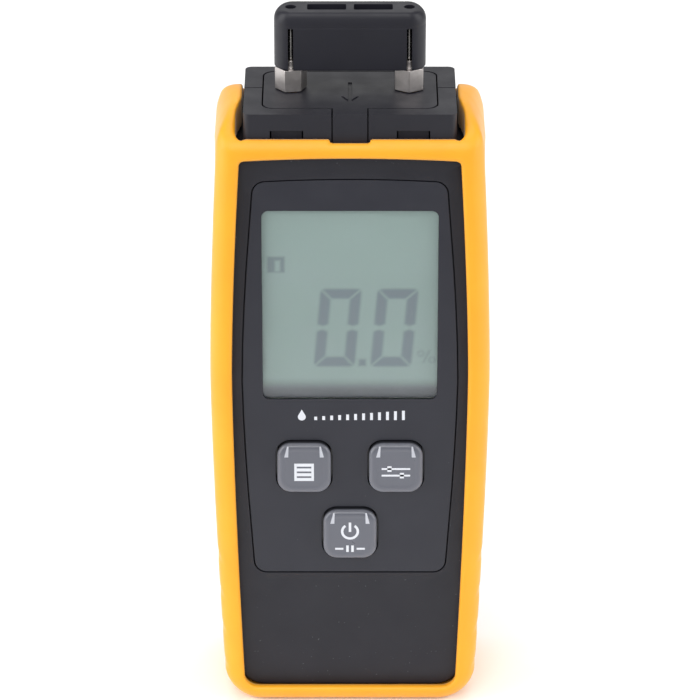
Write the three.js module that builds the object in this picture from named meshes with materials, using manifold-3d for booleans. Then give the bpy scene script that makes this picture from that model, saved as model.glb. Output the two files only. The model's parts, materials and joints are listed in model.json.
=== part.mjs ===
// A hand-held pin-type moisture meter, standing on its foot: +Z runs up its length to the two
// pins, its face looks along -Y, and the origin is in the middle of the foot. All sizes are in
// millimetres.
//
// A black case in two halves holds a circuit board, a liquid-crystal display, three keys and a
// 9 V block battery. A soft protective boot wraps the case, leaving the face, the back and the
// head open. The head carries two replaceable pins, and a cap pushes on over them.
import * as THREE from "three";
import { mergeVertices } from "three/addons/utils/BufferGeometryUtils.js";
import Module from "manifold-3d";

const wasm = await Module();
wasm.setup();

// ---------------------------------------------------------------- driving sizes
const gap = 0.3; // between two pieces that touch
const past = 5; // how far a cutting solid runs on beyond what it cuts
const eps = 0.05; // how far two solids that join bite into each other
const fine = 7; // segments in each quarter turn of an outline that shows

const boot = {
  halfWidth: 30.1, // at its widest
  widestZ: 80,
  topDraw: 2.32, // how much narrower each side is at the ear tops than at its widest
  bottomDraw: 2.75, // and at the foot
  proud: 2, // in front of the case's face, and behind its back
  earTopZ: 140.6,
  wall: 2.2, // round the case's sides and foot
  footWall: 2.5,
  edgeRound: 4, // round the long edges
  footCorner: 8, // the foot's two corners, seen from the front
  earCorner: 6, // the ears' outer corners, seen from the front
  crownDrop: 6.4, // the arch of the top end, seen from the side, falls this far to the front and the back
  rim: 4.75, // from the silhouette to the window's edge, where the boot is widest
  rimGain: 0.35, // how much wider the rim is at the ear tops
  rimLoss: 0.45, // how much narrower it is at the foot
  footBar: 4.2, // height of the bar across the foot
  windowDrop: 2.75, // from the shoulders down to the top edge of its two windows
  windowCorner: 2.8,
  windowTopCorner: 1,
  windowArch: 0.7,
  gripPitch: 9,
  gripCount: 5,
  gripZ: 6.5, // middle of the lowest grip groove
  gripWidth: 1.8,
  gripDepth: 0.5,
  gripTilt: 28, // degrees
};

const shell = {
  depth: 27,
  wall: 2,
  splitY: 1.5, // the plane where the two halves meet
  edgeRound: 3,
  footCorner: 6,
  shoulderCorner: 3.4,
  shoulderDrop: 7.7, // from the head's top down to the shoulders
};

const head = {
  halfWidth: 22.4,
  topZ: 140.7,
  corner: 1.5,
  earClearance: 0.5, // between the head and each ear
  barClearance: gap,
};

const plate = {
  bottomZ: 32.4,
  topDrop: 15.4, // from the head's top
  thickness: 1.6,
  margin: 2.3, // from the boot's window to the plate at its widest
  extraTopDraw: 0.75,
  extraBottomDraw: 1.5,
  corner: 2.4,
  arch: 0.5,
  ledge: 1.2, // width of the step that the plate is glued to
  ledgeDepth: 1.5,
};

// The plate lies in a platform that stands above the rest of the case's face, with sloping sides.
const platform = { height: 0.7, land: 0.3, slope: 1.8 };

const display = {
  halfWidth: 18.75, // the visible opening
  height: 44.3,
  topDrop: 6.6, // from the plate's top edge
  corner: 1.5,
  lip: 0.55, // the plate's skin over the window's edge
  lipWidth: 0.75,
  glue: 0.05, // thickness of the glue between the lip and the window
  windowThickness: 0.9,
  glassThickness: 1.4,
  glassBorder: 0.3, // the glass beyond the visible opening, each way
  holderBorder: 1.3, // the holder beyond the visible opening, above and below
  holderSeat: 0.6, // how far it reaches behind the case's ledge at its top corners
  holderDepth: 1.7,
  connectorHeight: 2,
  connectorInset: 1.5, // shorter than the opening's half width by this much
};

const key = {
  width: 11.6,
  height: 11.8,
  corner: 3,
  hole: 0.35, // clearance to the plate, each side
  proud: 1.6,
  travel: 0.8,
  flange: 0.9, // how far the retaining flange stands out
  flangeThickness: 0.7,
  crownRound: 0.9,
  pairOffset: 9.95, // the mode and set keys, each side of the middle
  pairDrop: 16, // from the display's bottom edge down to the upper pair's middle
  rowPitch: 16.2,
  plungerRadius: 3,
  matThickness: 0.6,
  padClearance: 0.2, // left between a plunger and the board when its key is down
};

const board = { halfWidth: 19.3, thickness: 1.2, endClearance: 0.8, screwInset: 1.7, topScrewInset: 2.3 };
const boardScrew = { radius: 0.8, headRadius: 1.6, headHeight: 1, post: 1.6, length: 4.2 };
const caseScrew = {
  radius: 1.1,
  headRadius: 2.3,
  headHeight: 1.6,
  length: 10.5,
  sink: 3.5, // from the back of the case down to the top of its head
  pillar: 2.8, // outer radius of the front half's pillar
  boss: 3.6, // and of the rear half's boss
  upperX: 19,
  lowerX: 20,
  upperDrop: 4.5, // below the shoulders
  lowerRise: 9.2, // above the case's foot
};

const battery = {
  halfWidth: 13.25,
  depth: 16.8,
  height: 46.4,
  corner: 2,
  terminalPitch: 12.7,
  terminalHeight: 2.7,
  plusRadius: 2.9,
  minusRadius: 4.2,
  connectorInset: 1,
};
// The battery's compartment.
const bay = {
  wall: 0.9,
  sideWall: 2.25,
  floor: 1.2,
  rise: 4.6, // from the case's foot up to the opening
  rest: 2, // height of the two ribs that the battery stands on, clear of the door's swing
  restX: 7,
  restWidth: 1.6,
  headroom: 7.7,
  leadWay: 4,
};
const door = {
  thickness: 1.5,
  seat: 1.45, // width of the step it rests on
  hingeInset: 1, // from its lower edge up to its hinge line
  pegInset: 0.65, // from its inner face out to the hinge line
  pegRadius: 0.5,
  pegLength: 0.9,
  swingRelief: 1.2, // the seat is this much deeper behind the hinge
  latchWidth: 9,
  latchLength: 11.7,
  latchSlit: 0.7,
  ribCount: 5,
  ribStart: 2.6, // from the tab's root to the first rib
  ribPitch: 1.7,
  ribWidth: 0.7,
  ribHeight: 0.4,
};

const holder = {
  halfWidth: 18.3,
  frontY: -10,
  backY: 10.6,
  plate: 2.5,
  corner: 2.6,
  towerRadius: 3.5,
  towerDepth: 5.7,
  tongueHalfWidth: 3.6,
  tongueThickness: 1.2,
  tongueDrop: 6.7,
  hookInner: 10.1,
  hookWidth: 6.4,
  hookDrop: 6.3,
  hookHeight: 2.3,
  hookReach: 1.1, // into the front wall's window
  arm: 1.2,
};

const pins = {
  spacing: 25,
  radius: 0.8,
  tipLength: 4,
  height: 15.1, // tip above the head's top
  root: 6.5, // below it
};
const ferrule = {
  acrossFlats: 6,
  height: 4.9,
  collarRadius: 2,
  collarHeight: 1.7,
  neckRadius: 1.6,
  neckLength: 4.2,
};
const socket = { radius: 2.5, length: 9.2 };

const cap = {
  halfWidth: 16,
  depth: 8,
  height: 12.95,
  corner: 3.6,
  edgeRound: 0.8,
  slotWidth: 1.1,
  slotTopDrop: 3.5,
  pinHole: 1.15,
  pocketLength: 8.2,
  pocketWidth: 2.6,
  pocketDepth: 9,
  pocketInner: 0.8, // from the middle to each pocket
  skirt: 0.35, // the wall is this much thinner above the skirt line
  skirtTopDrop: 3.1,
  travel: 24,
};

const leadRadius = 0.65;

// ---------------------------------------------------------------- derived places
const bootDepth = shell.depth + 2 * boot.proud;
const frontY = -shell.depth / 2;
const backY = shell.depth / 2;
const caseFootZ = boot.footWall + gap;
const shoulderZ = head.topZ - shell.shoulderDrop;
const pinX = pins.spacing / 2;
const pinY = shell.splitY;
const windowTopZ = shoulderZ - boot.windowDrop;

const plateTopZ = head.topZ - plate.topDrop;
const plateBackY = frontY + plate.thickness;
const ledgeY = plateBackY + gap;
const ledgeBackY = ledgeY + plate.ledgeDepth;

const displayTopZ = plateTopZ - display.topDrop;
const displayBottomZ = displayTopZ - display.height;
const glassY = ledgeY + 0.1;
const glassBackY = glassY + display.glassThickness;
const holderY = ledgeBackY + gap;
const holderBackY = holderY + display.holderDepth;

const boardY = holderBackY + gap;
const boardBackY = boardY + board.thickness;
const boardBottomZ = plate.bottomZ + plate.ledge + board.endClearance;
const boardTopZ = plateTopZ - board.endClearance;
const boardScrewX = board.halfWidth - board.screwInset;

const keyRowZ = displayBottomZ - key.pairDrop;
const keyCentres = {
  key_mode: [-key.pairOffset, keyRowZ],
  key_set: [key.pairOffset, keyRowZ],
  key_power: [0, keyRowZ - key.rowPitch],
};
const flangeY = plateBackY + gap;
const flangeBackY = flangeY + key.flangeThickness;
const matY = boardY - gap - key.matThickness;

const bayBottomZ = caseFootZ + bay.rise; // the opening's lower edge
const batteryZ = bayBottomZ + bay.rest + gap;
const batteryTopZ = batteryZ + battery.height;
const bayTopZ = batteryTopZ + bay.headroom;
const doorY = backY - door.thickness;
const batteryBackY = doorY - gap;
const batteryY = batteryBackY - battery.depth;
const bayHalfWidth = battery.halfWidth + gap;
const bayFrontY = batteryY - gap - bay.wall;
const doorHalfWidth = bayHalfWidth + door.seat;

const ferruleTopZ = head.topZ + gap / 2 + ferrule.height;
const capBottomZ = ferruleTopZ + gap;
const capTopZ = capBottomZ + cap.height;

// ---------------------------------------------------------------- solids
// A closed three.js geometry as a solid that can be joined and cut.
function solid(geometry) {
  const bare = geometry.index ? geometry.toNonIndexed() : geometry.clone();
  bare.deleteAttribute("normal");
  bare.deleteAttribute("uv");
  const merged = mergeVertices(bare, 1e-4);
  return new wasm.Manifold(
    new wasm.Mesh({
      numProp: 3,
      vertProperties: merged.attributes.position.array,
      triVerts: new Uint32Array(merged.index.array),
    }),
  );
}

const join = (first, ...rest) => rest.reduce((whole, piece) => whole.add(piece), first);
const cut = (first, ...rest) => rest.reduce((whole, piece) => whole.subtract(piece), first);

// A box between two corners.
function box([x0, y0, z0], [x1, y1, z1]) {
  const geometry = new THREE.BoxGeometry(x1 - x0, y1 - y0, z1 - z0);
  return solid(geometry.translate((x0 + x1) / 2, (y0 + y1) / 2, (z0 + z1) / 2));
}

// An outline extruded along +Z, its two rims rounded by `round`.
function extruded(shape, length, round = 0, curveSegments = 4) {
  const steps = round > 1.5 ? 4 : 2;
  return new THREE.ExtrudeGeometry(shape, {
    depth: length - 2 * round,
    curveSegments,
    bevelEnabled: round > 0,
    bevelThickness: round,
    bevelSize: round,
    bevelOffset: -round,
    bevelSegments: steps,
  }).translate(0, 0, round);
}

// An outline in X and Z made solid from the depth y0 back to y1.
const slab = (shape, y0, y1, round = 0, curveSegments = 4) =>
  solid(extruded(shape, y1 - y0, round, curveSegments).rotateX(Math.PI / 2).translate(0, y1, 0));

// An outline in X and Y made solid from the height z0 up to z1.
const prism = (shape, z0, z1, round = 0, curveSegments = 4) =>
  solid(extruded(shape, z1 - z0, round, curveSegments).translate(0, 0, z0));

// An outline in Y and Z made solid from x0 to x1.
const ridge = (shape, x0, x1) =>
  solid(extruded(shape, x1 - x0).rotateX(Math.PI / 2).rotateZ(Math.PI / 2).translate(x0, 0, 0));

// A round bar along Z, X or Y, at a point. The one along Z tapers if it is given two radii.
function barZ(x, y, z0, z1, r0, r1 = r0, sides = 16) {
  const geometry = new THREE.CylinderGeometry(r1, r0, z1 - z0, sides).rotateX(Math.PI / 2);
  return solid(geometry.translate(x, y, (z0 + z1) / 2));
}
function barX(y, z, x0, x1, radius, sides = 12) {
  const geometry = new THREE.CylinderGeometry(radius, radius, x1 - x0, sides).rotateZ(Math.PI / 2);
  return solid(geometry.translate((x0 + x1) / 2, y, z));
}
function barY(x, z, y0, y1, radius, sides = 16) {
  const geometry = new THREE.CylinderGeometry(radius, radius, y1 - y0, sides);
  return solid(geometry.translate(x, (y0 + y1) / 2, z));
}

// ---------------------------------------------------------------- outlines
const ARC = 0.5523; // a Bezier handle's share of the radius in a quarter circle

// Rounds a corner from the current point, by way of `corner`, to `end`.
function roundTo(shape, corner, end) {
  const start = shape.currentPoint.clone();
  const toward = (from) => [from.x + (corner.x - from.x) * ARC, from.y + (corner.y - from.y) * ARC];
  shape.bezierCurveTo(...toward(start), ...toward(end), end.x, end.y);
}

function roundedRectangle(x0, y0, x1, y1, radius) {
  const shape = new THREE.Shape();
  shape.absarc(x1 - radius, y0 + radius, radius, -Math.PI / 2, 0);
  shape.absarc(x1 - radius, y1 - radius, radius, 0, Math.PI / 2);
  shape.absarc(x0 + radius, y1 - radius, radius, Math.PI / 2, Math.PI);
  shape.absarc(x0 + radius, y0 + radius, radius, Math.PI, 1.5 * Math.PI);
  return shape;
}

// The same about a centre.
const roundedAround = (x, z, halfX, halfZ, radius) =>
  roundedRectangle(x - halfX, z - halfZ, x + halfX, z + halfZ, radius);

// A left-right symmetric outline whose half width at each height is side(z), with rounded corners
// and an arched top edge.
function taperedOutline(side, bottom, top, bottomRadius, topRadius, arch = 0, steps = 10) {
  const point = (x, z) => new THREE.Vector2(x, z);
  const low = bottom + bottomRadius;
  const high = top - topRadius;
  const shape = new THREE.Shape();
  shape.moveTo(-side(bottom) + bottomRadius, bottom);
  shape.lineTo(side(bottom) - bottomRadius, bottom);
  roundTo(shape, point(side(bottom), bottom), point(side(low), low));
  for (let i = 1; i <= steps; i++) {
    const z = low + ((high - low) * i) / steps;
    shape.lineTo(side(z), z);
  }
  roundTo(shape, point(side(top), top), point(side(top) - topRadius, top));
  if (arch) shape.quadraticCurveTo(0, top + 2 * arch, topRadius - side(top), top);
  else shape.lineTo(topRadius - side(top), top);
  roundTo(shape, point(-side(top), top), point(-side(high), high));
  for (let i = 1; i <= steps; i++) {
    const z = high - ((high - low) * i) / steps;
    shape.lineTo(-side(z), z);
  }
  roundTo(shape, point(-side(bottom), bottom), point(-side(bottom) + bottomRadius, bottom));
  return shape;
}

// How far the sides have drawn in at height z, from nothing at the widest height to 1 at the two ends.
const drawn = (z, top) =>
  (z > boot.widestZ ? (z - boot.widestZ) / (top - boot.widestZ) : (boot.widestZ - z) / boot.widestZ) ** 1.5;
const bootSide = (z) =>
  boot.halfWidth - drawn(z, boot.earTopZ) * (z > boot.widestZ ? boot.topDraw : boot.bottomDraw);
const windowSide = (z) =>
  bootSide(z) - boot.rim + drawn(z, boot.earTopZ) * (z > boot.widestZ ? -boot.rimGain : boot.rimLoss);
const caseSide = (z) => bootSide(z) - boot.wall - gap;
const plateSide = (z) =>
  windowSide(z) -
  plate.margin -
  drawn(z, boot.earTopZ) * 2 * (z > boot.widestZ ? plate.extraTopDraw : plate.extraBottomDraw);

const inset = (side, by) => (z) => side(z) - by;

// ---------------------------------------------------------------- the boot
function makeBoot() {
  const outline = taperedOutline(bootSide, 0, boot.earTopZ, boot.footCorner, boot.earCorner, 0, 12);
  let body = slab(outline, -bootDepth / 2, bootDepth / 2, boot.edgeRound, 6);

  // The top end is arched from front to back.
  const half = bootDepth / 2;
  const radius = (half ** 2 + boot.crownDrop ** 2) / (2 * boot.crownDrop);
  const spring = Math.asin(half / radius);
  const arch = new THREE.Shape();
  arch.moveTo(-half - past, -past);
  arch.lineTo(half + past, -past);
  arch.lineTo(half + past, boot.earTopZ - boot.crownDrop);
  arch.absarc(0, boot.earTopZ - radius, radius, Math.PI / 2 - spring, Math.PI / 2 + spring);
  arch.lineTo(-half - past, boot.earTopZ - boot.crownDrop);
  body = body.intersect(ridge(arch, -boot.halfWidth - past, boot.halfWidth + past));

  // The case's own room, the head's opening, and a window in the face and in the back.
  const room = taperedOutline(
    inset(caseSide, -gap), caseFootZ - gap, shoulderZ + gap,
    shell.footCorner, shell.shoulderCorner, 0, 12,
  );
  const opening = head.halfWidth + head.earClearance;
  const openingY = shell.depth / 2 + head.barClearance;
  const window = taperedOutline(
    windowSide, boot.footBar, windowTopZ, boot.windowCorner, boot.windowTopCorner, boot.windowArch, 12,
  );
  body = cut(
    body,
    slab(room, frontY - gap, backY + gap, shell.edgeRound),
    prism(roundedAround(0, 0, opening, openingY, head.corner + 1), shoulderZ - past, boot.earTopZ + past),
    slab(window, -bootDepth, 0),
    slab(window, 0, bootDepth),
  );

  // Slanted grip grooves low on both sides.
  for (const sideways of [-1, 1])
    for (let i = 0; i < boot.gripCount; i++) {
      const z = boot.gripZ + i * boot.gripPitch;
      const length = bootDepth - 2 * boot.edgeRound;
      const groove = new THREE.CylinderGeometry(boot.gripWidth, boot.gripWidth, length, 10)
        .rotateX((boot.gripTilt * Math.PI) / 180)
        .translate(sideways * (bootSide(z) + boot.gripWidth - boot.gripDepth), 0, z);
      body = cut(body, solid(groove));
    }
  return body;
}

// ---------------------------------------------------------------- the case
const bossPlaces = [
  [-caseScrew.upperX, shoulderZ - caseScrew.upperDrop],
  [caseScrew.upperX, shoulderZ - caseScrew.upperDrop],
  [-caseScrew.lowerX, caseFootZ + caseScrew.lowerRise],
  [caseScrew.lowerX, caseFootZ + caseScrew.lowerRise],
];

// The electrode holder's two hooks: where they start and end sideways, and how high they are.
const hookZ = head.topZ - holder.hookDrop;
const hookSpans = [
  [-holder.hookInner - holder.hookWidth, -holder.hookInner],
  [holder.hookInner, holder.hookInner + holder.hookWidth],
];

const holderOutline = (grow) =>
  roundedAround(
    0, (holder.frontY + holder.backY) / 2,
    holder.halfWidth + grow, (holder.backY - holder.frontY) / 2 + grow, holder.corner,
  );

// Both halves before they are parted: a hollow body with the head standing on its shoulders.
function caseBlank() {
  const body = taperedOutline(
    caseSide, caseFootZ, shoulderZ, shell.footCorner, shell.shoulderCorner, 0, 12,
  );
  const roomOutline = taperedOutline(
    inset(caseSide, shell.wall), caseFootZ + shell.wall, shoulderZ - shell.wall,
    shell.footCorner - shell.wall, 2, 0, 12,
  );
  const headOutline = roundedRectangle(-head.halfWidth, frontY, head.halfWidth, backY, head.corner);
  const inner = head.halfWidth - shell.wall;
  const headRoom = roundedRectangle(-inner, frontY + shell.wall, inner, backY - shell.wall, 1);
  return cut(
    join(
      slab(body, frontY, backY, shell.edgeRound, fine),
      prism(headOutline, shoulderZ - past, head.topZ, 0, fine),
    ),
    slab(roomOutline, frontY + shell.wall, backY - shell.wall, 1),
    prism(headRoom, shoulderZ - 2 * past, head.topZ - shell.wall),
    prism(holderOutline(gap), head.topZ - 2 * shell.wall, head.topZ + past, 0, fine),
  );
}

const wide = boot.halfWidth + past;
const tall = head.topZ + past;

// The plate's outline grown on all sides.
const around = (grow) =>
  taperedOutline(
    inset(plateSide, -grow), plate.bottomZ - grow, plateTopZ + grow,
    plate.corner + Math.max(0, grow), plate.corner + Math.max(0, grow), plate.arch,
  );

function makeFrontCase(blank) {
  let half = blank.intersect(box([-wide, frontY - past, -past], [wide, shell.splitY - gap / 2, tall]));

  // The face lies lower outside the platform, whose sides slope down to it. The head does not.
  const faceY = frontY + platform.height;
  const skirt = gap + platform.land + platform.slope;
  const raised = new THREE.ExtrudeGeometry(around(skirt), {
    depth: shell.wall,
    curveSegments: fine,
    bevelThickness: platform.height,
    bevelSize: platform.slope,
    bevelOffset: -platform.slope,
    bevelSegments: 1,
  });
  raised.rotateX(Math.PI / 2).translate(0, faceY + shell.wall, 0);
  half = cut(half, box([-wide, frontY - past, -past], [wide, faceY, windowTopZ]));
  half = join(half, solid(raised).intersect(box([-wide, frontY, -past], [wide, faceY + eps, windowTopZ])));

  // The recess that the face plate is glued into, its ledge, and the opening behind.
  const recess = around(gap);
  const ledge = around(shell.wall);
  const opening = around(-plate.ledge);
  half = join(half, slab(ledge, frontY + shell.wall - eps, ledgeBackY));
  half = cut(
    half,
    slab(recess, frontY - past, ledgeY, 0, fine),
    slab(opening, frontY - past, ledgeBackY + 1),
  );

  // Pillars that the case screws bite into.
  for (const [x, z] of bossPlaces) {
    half = join(half, barY(x, z, frontY + shell.wall - eps, shell.splitY - gap / 2, caseScrew.pillar));
    half = cut(half, barY(x, z, frontY + 2 * shell.wall, shell.splitY + 1, caseScrew.radius + gap));
  }

  // Two windows for the electrode holder's hooks, and the notch for its tongue.
  for (const [x0, x1] of hookSpans)
    half = cut(
      half,
      box(
        [x0 - gap, frontY - past, hookZ - gap],
        [x1 + gap, frontY + shell.wall + eps, hookZ + holder.hookHeight + gap],
      ),
    );
  const notch = holder.tongueHalfWidth + gap;
  const tongueBackY = frontY + holder.tongueThickness + gap;
  return cut(
    half,
    box([-notch, frontY - past, head.topZ - holder.tongueDrop - gap], [notch, tongueBackY, tall]),
    box([-notch, frontY - past, head.topZ - holder.tongueThickness - gap], [notch, holder.frontY, tall]),
  );
}

function makeRearCase(blank) {
  let half = blank.intersect(box([-wide, shell.splitY + gap / 2, -past], [wide, backY + past, tall]));

  // The battery's compartment, with its opening to the back and a seat for the door.
  const outer = bayHalfWidth + bay.sideWall;
  const wallBackY = backY - shell.wall + eps;
  half = join(
    half,
    box([-outer, bayFrontY, bayBottomZ - bay.floor], [outer, wallBackY, bayTopZ + bay.floor]),
  );
  half = cut(
    half,
    box([-bayHalfWidth, bayFrontY + bay.wall, bayBottomZ], [bayHalfWidth, backY + past, bayTopZ]),
    box([-doorHalfWidth - gap, doorY - gap, bayBottomZ], [doorHalfWidth + gap, backY + past, bayTopZ]),
    // The leads' way out at the top.
    box(
      [-bay.leadWay, bayFrontY + bay.wall, bayTopZ - 1],
      [bay.leadWay, bayFrontY + 2 * bay.leadWay, bayTopZ + bay.floor + 1],
    ),
    // Room for the door's hinge edge to swing, and the two holes for its pegs.
    box(
      [-doorHalfWidth - gap, doorY - gap - door.swingRelief, bayBottomZ],
      [doorHalfWidth + gap, backY, hinge.z + door.hingeInset + door.swingRelief],
    ),
    barX(hinge.y, hinge.z, -pegX - gap, pegX + gap, door.pegRadius + gap),
  );
  for (const x of [-bay.restX, bay.restX])
    half = join(
      half,
      box(
        [x - bay.restWidth / 2, bayFrontY + bay.wall - eps, bayBottomZ - eps],
        [x + bay.restWidth / 2, batteryBackY - bay.rest, batteryZ - gap],
      ),
    );

  // Sunk holes for the case screws, in bosses that meet the front half's pillars.
  for (const [x, z] of bossPlaces) {
    half = join(half, barY(x, z, shell.splitY + gap / 2, wallBackY, caseScrew.boss));
    half = cut(
      half,
      barY(x, z, shell.splitY - 1, backY + past, caseScrew.radius + gap),
      barY(x, z, backY - caseScrew.sink - caseScrew.headHeight, backY + past, caseScrew.headRadius + gap),
    );
  }
  return half;
}

// A key's outline, grown on all sides.
const keyOutline = ([x, z], grow, radius) =>
  roundedAround(x, z, key.width / 2 + grow, key.height / 2 + grow, radius);

// The display's visible opening, grown on all sides.
const displayOutline = (grow) =>
  roundedAround(
    0, displayTopZ - display.height / 2,
    display.halfWidth + grow, display.height / 2 + grow, display.corner,
  );

function makeFacePlate() {
  let panel = slab(around(0), frontY, plateBackY, 0, fine);
  const opening = (grow, y0, y1) => slab(displayOutline(grow), y0, y1, 0, fine);
  panel = cut(
    panel,
    opening(0, frontY - past, plateBackY + 1),
    opening(display.lipWidth + gap, frontY + display.lip, plateBackY + 1),
  );
  for (const centre of Object.values(keyCentres)) {
    const hole = keyOutline(centre, key.hole, key.corner + key.hole);
    panel = cut(panel, slab(hole, frontY - past, 0, 0, fine));
  }

  // Posts that the board is screwed to.
  for (const [x, z] of boardScrewPlaces) {
    panel = join(panel, barY(x, z, plateBackY - eps, boardY - gap, boardScrew.post, 12));
    panel = cut(panel, barY(x, z, plateBackY + 0.4, boardY, boardScrew.radius + gap, 10));
  }
  return panel;
}

// ---------------------------------------------------------------- display
function makeDisplayWindow() {
  const y = frontY + display.lip + display.glue;
  return slab(displayOutline(display.lipWidth), y, y + display.windowThickness);
}

function makeGlass() {
  const border = display.glassBorder;
  const x = display.halfWidth + border;
  return box([-x, glassY, displayBottomZ - border], [x, glassBackY, displayTopZ + border]);
}

const connectorTopZ = displayBottomZ + display.connectorHeight;
const connectorHalfWidth = display.halfWidth - display.connectorInset;

function makeDisplayHolder() {
  const x = plateSide(displayTopZ) - plate.ledge + display.holderSeat;
  const border = display.holderBorder;
  const slot = connectorHalfWidth;
  return cut(
    box([-x, holderY, displayBottomZ - border], [x, holderBackY, displayTopZ + border]),
    // Its middle is open, and so is the slot that holds the connector.
    box([-slot, holderY - 1, connectorTopZ + 2], [slot, holderBackY + 1, displayTopZ - 3]),
    box(
      [-slot - gap, holderY - 1, displayBottomZ - gap],
      [slot + gap, holderBackY + 1, connectorTopZ + gap],
    ),
  );
}

const makeDisplayConnector = () =>
  box(
    [-connectorHalfWidth, holderY, displayBottomZ],
    [connectorHalfWidth, holderBackY, connectorTopZ],
  );

// ---------------------------------------------------------------- keys
function makeKey(centre) {
  const crownBackY = flangeBackY + key.crownRound;
  const crown = slab(keyOutline(centre, 0, key.corner), frontY - key.proud, crownBackY, key.crownRound);
  const behind = slab(keyOutline(centre, key.flange, key.corner), flangeBackY, crownBackY + 1);
  const flange = slab(keyOutline(centre, key.flange, key.corner), flangeY, flangeBackY);
  return join(cut(crown, behind), flange);
}

// The rubber plunger under a key carries a carbon pill that bridges two pads on the board.
const makePlunger = ([x, z]) =>
  barY(x, z, flangeBackY + gap, boardY - key.padClearance - key.travel, key.plungerRadius);

function makeKeyMat() {
  const [modeX, pairZ] = keyCentres.key_mode;
  const [, powerZ] = keyCentres.key_power;
  const reach = key.plungerRadius + 3;
  const sheet = new THREE.Shape();
  sheet.moveTo(modeX - reach, pairZ + reach);
  sheet.lineTo(modeX - reach, pairZ - reach);
  sheet.lineTo(-reach, powerZ - reach);
  sheet.lineTo(reach, powerZ - reach);
  sheet.lineTo(-modeX + reach, pairZ - reach);
  sheet.lineTo(-modeX + reach, pairZ + reach);
  const hole = key.plungerRadius + gap;
  const holes = Object.values(keyCentres).map(([x, z]) => barY(x, z, matY - 1, boardY, hole));
  return cut(slab(sheet, matY, boardY - gap), ...holes);
}

// ---------------------------------------------------------------- board
const boardScrewPlaces = [
  [-boardScrewX, boardBottomZ + 4.6],
  [boardScrewX, boardBottomZ + 4.6],
  [-boardScrewX + 0.6, boardTopZ - board.topScrewInset],
  [boardScrewX - 0.6, boardTopZ - board.topScrewInset],
];

function makeBoard() {
  const sheet = box([-board.halfWidth, boardY, boardBottomZ], [board.halfWidth, boardBackY, boardTopZ]);
  const hole = boardScrew.radius + gap;
  return cut(
    sheet,
    ...boardScrewPlaces.map(([x, z]) => barY(x, z, boardY - 1, boardBackY + 1, hole, 12)),
  );
}

// A component that stands on the back of the board.
const onBoard = (x, z, width, height, thickness) =>
  box(
    [x - width / 2, boardBackY + gap, z - height / 2],
    [x + width / 2, boardBackY + gap + thickness, z + height / 2],
  );

// A screw along Y with its head to the back: `seatY` is the face under its head.
const underHead = 0.1; // left between a screw's head and its seat
function makeScrew(size, x, z, seatY) {
  const recess = size.headRadius * 0.55;
  const depth = size.headHeight * 0.55;
  const arm = size.headRadius * 0.14;
  const top = seatY + size.headHeight;
  return cut(
    join(
      barY(x, z, seatY - size.length, seatY + eps, size.radius, 12),
      barY(x, z, seatY, top, size.headRadius),
    ),
    box([x - recess, top - depth, z - arm], [x + recess, top + 1, z + arm]),
    box([x - arm, top - depth, z - recess], [x + arm, top + 1, z + recess]),
  );
}

// ---------------------------------------------------------------- battery and its door
const batteryMidY = (batteryY + batteryBackY) / 2;
const terminalX = battery.terminalPitch / 2;

const makeBattery = () =>
  prism(
    roundedRectangle(-battery.halfWidth, batteryY, battery.halfWidth, batteryBackY, battery.corner),
    batteryZ,
    batteryTopZ,
  );

const makeTerminal = (x, radius) =>
  barZ(x, batteryMidY, batteryTopZ + gap, batteryTopZ + battery.terminalHeight, radius, radius * 0.9, 12);

function makeSnapConnector() {
  const ring = battery.minusRadius + gap;
  const halfX = battery.halfWidth - battery.connectorInset;
  const halfY = battery.depth / 2 - 2 * battery.connectorInset;
  const outline = roundedRectangle(-halfX, batteryMidY - halfY, halfX, batteryMidY + halfY, 5);
  return cut(
    prism(outline, batteryTopZ + gap, batteryTopZ + battery.terminalHeight + 0.6),
    barZ(-terminalX, batteryMidY, batteryTopZ, batteryTopZ + battery.terminalHeight + gap, ring),
    barZ(terminalX, batteryMidY, batteryTopZ, batteryTopZ + battery.terminalHeight + gap, ring),
  );
}

// The door turns on two pegs at its lower corners.
const hinge = { y: doorY + door.pegInset, z: bayBottomZ + gap + door.hingeInset };
const pegX = doorHalfWidth + door.pegLength;

function makeDoor() {
  const panel = roundedRectangle(-doorHalfWidth, bayBottomZ + gap, doorHalfWidth, bayTopZ - gap, 1);
  let leaf = join(slab(panel, doorY, backY), barX(hinge.y, hinge.z, -pegX, pegX, door.pegRadius));
  // Two slits free the latch tab, whose ribs give the thumb a grip.
  const latch = door.latchWidth / 2;
  const slit = door.latchSlit / 2;
  const latchRootZ = bayTopZ - gap - door.latchLength;
  for (const x of [-latch, latch])
    leaf = cut(leaf, box([x - slit, doorY - 1, latchRootZ], [x + slit, backY + 1, bayTopZ]));
  for (let i = 0; i < door.ribCount; i++) {
    const z = latchRootZ + door.ribStart + i * door.ribPitch;
    const ribX = latch - 1;
    const half = door.ribWidth / 2;
    leaf = join(leaf, box([-ribX, backY - eps, z - half], [ribX, backY + door.ribHeight, z + half]));
  }
  return leaf;
}

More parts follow.
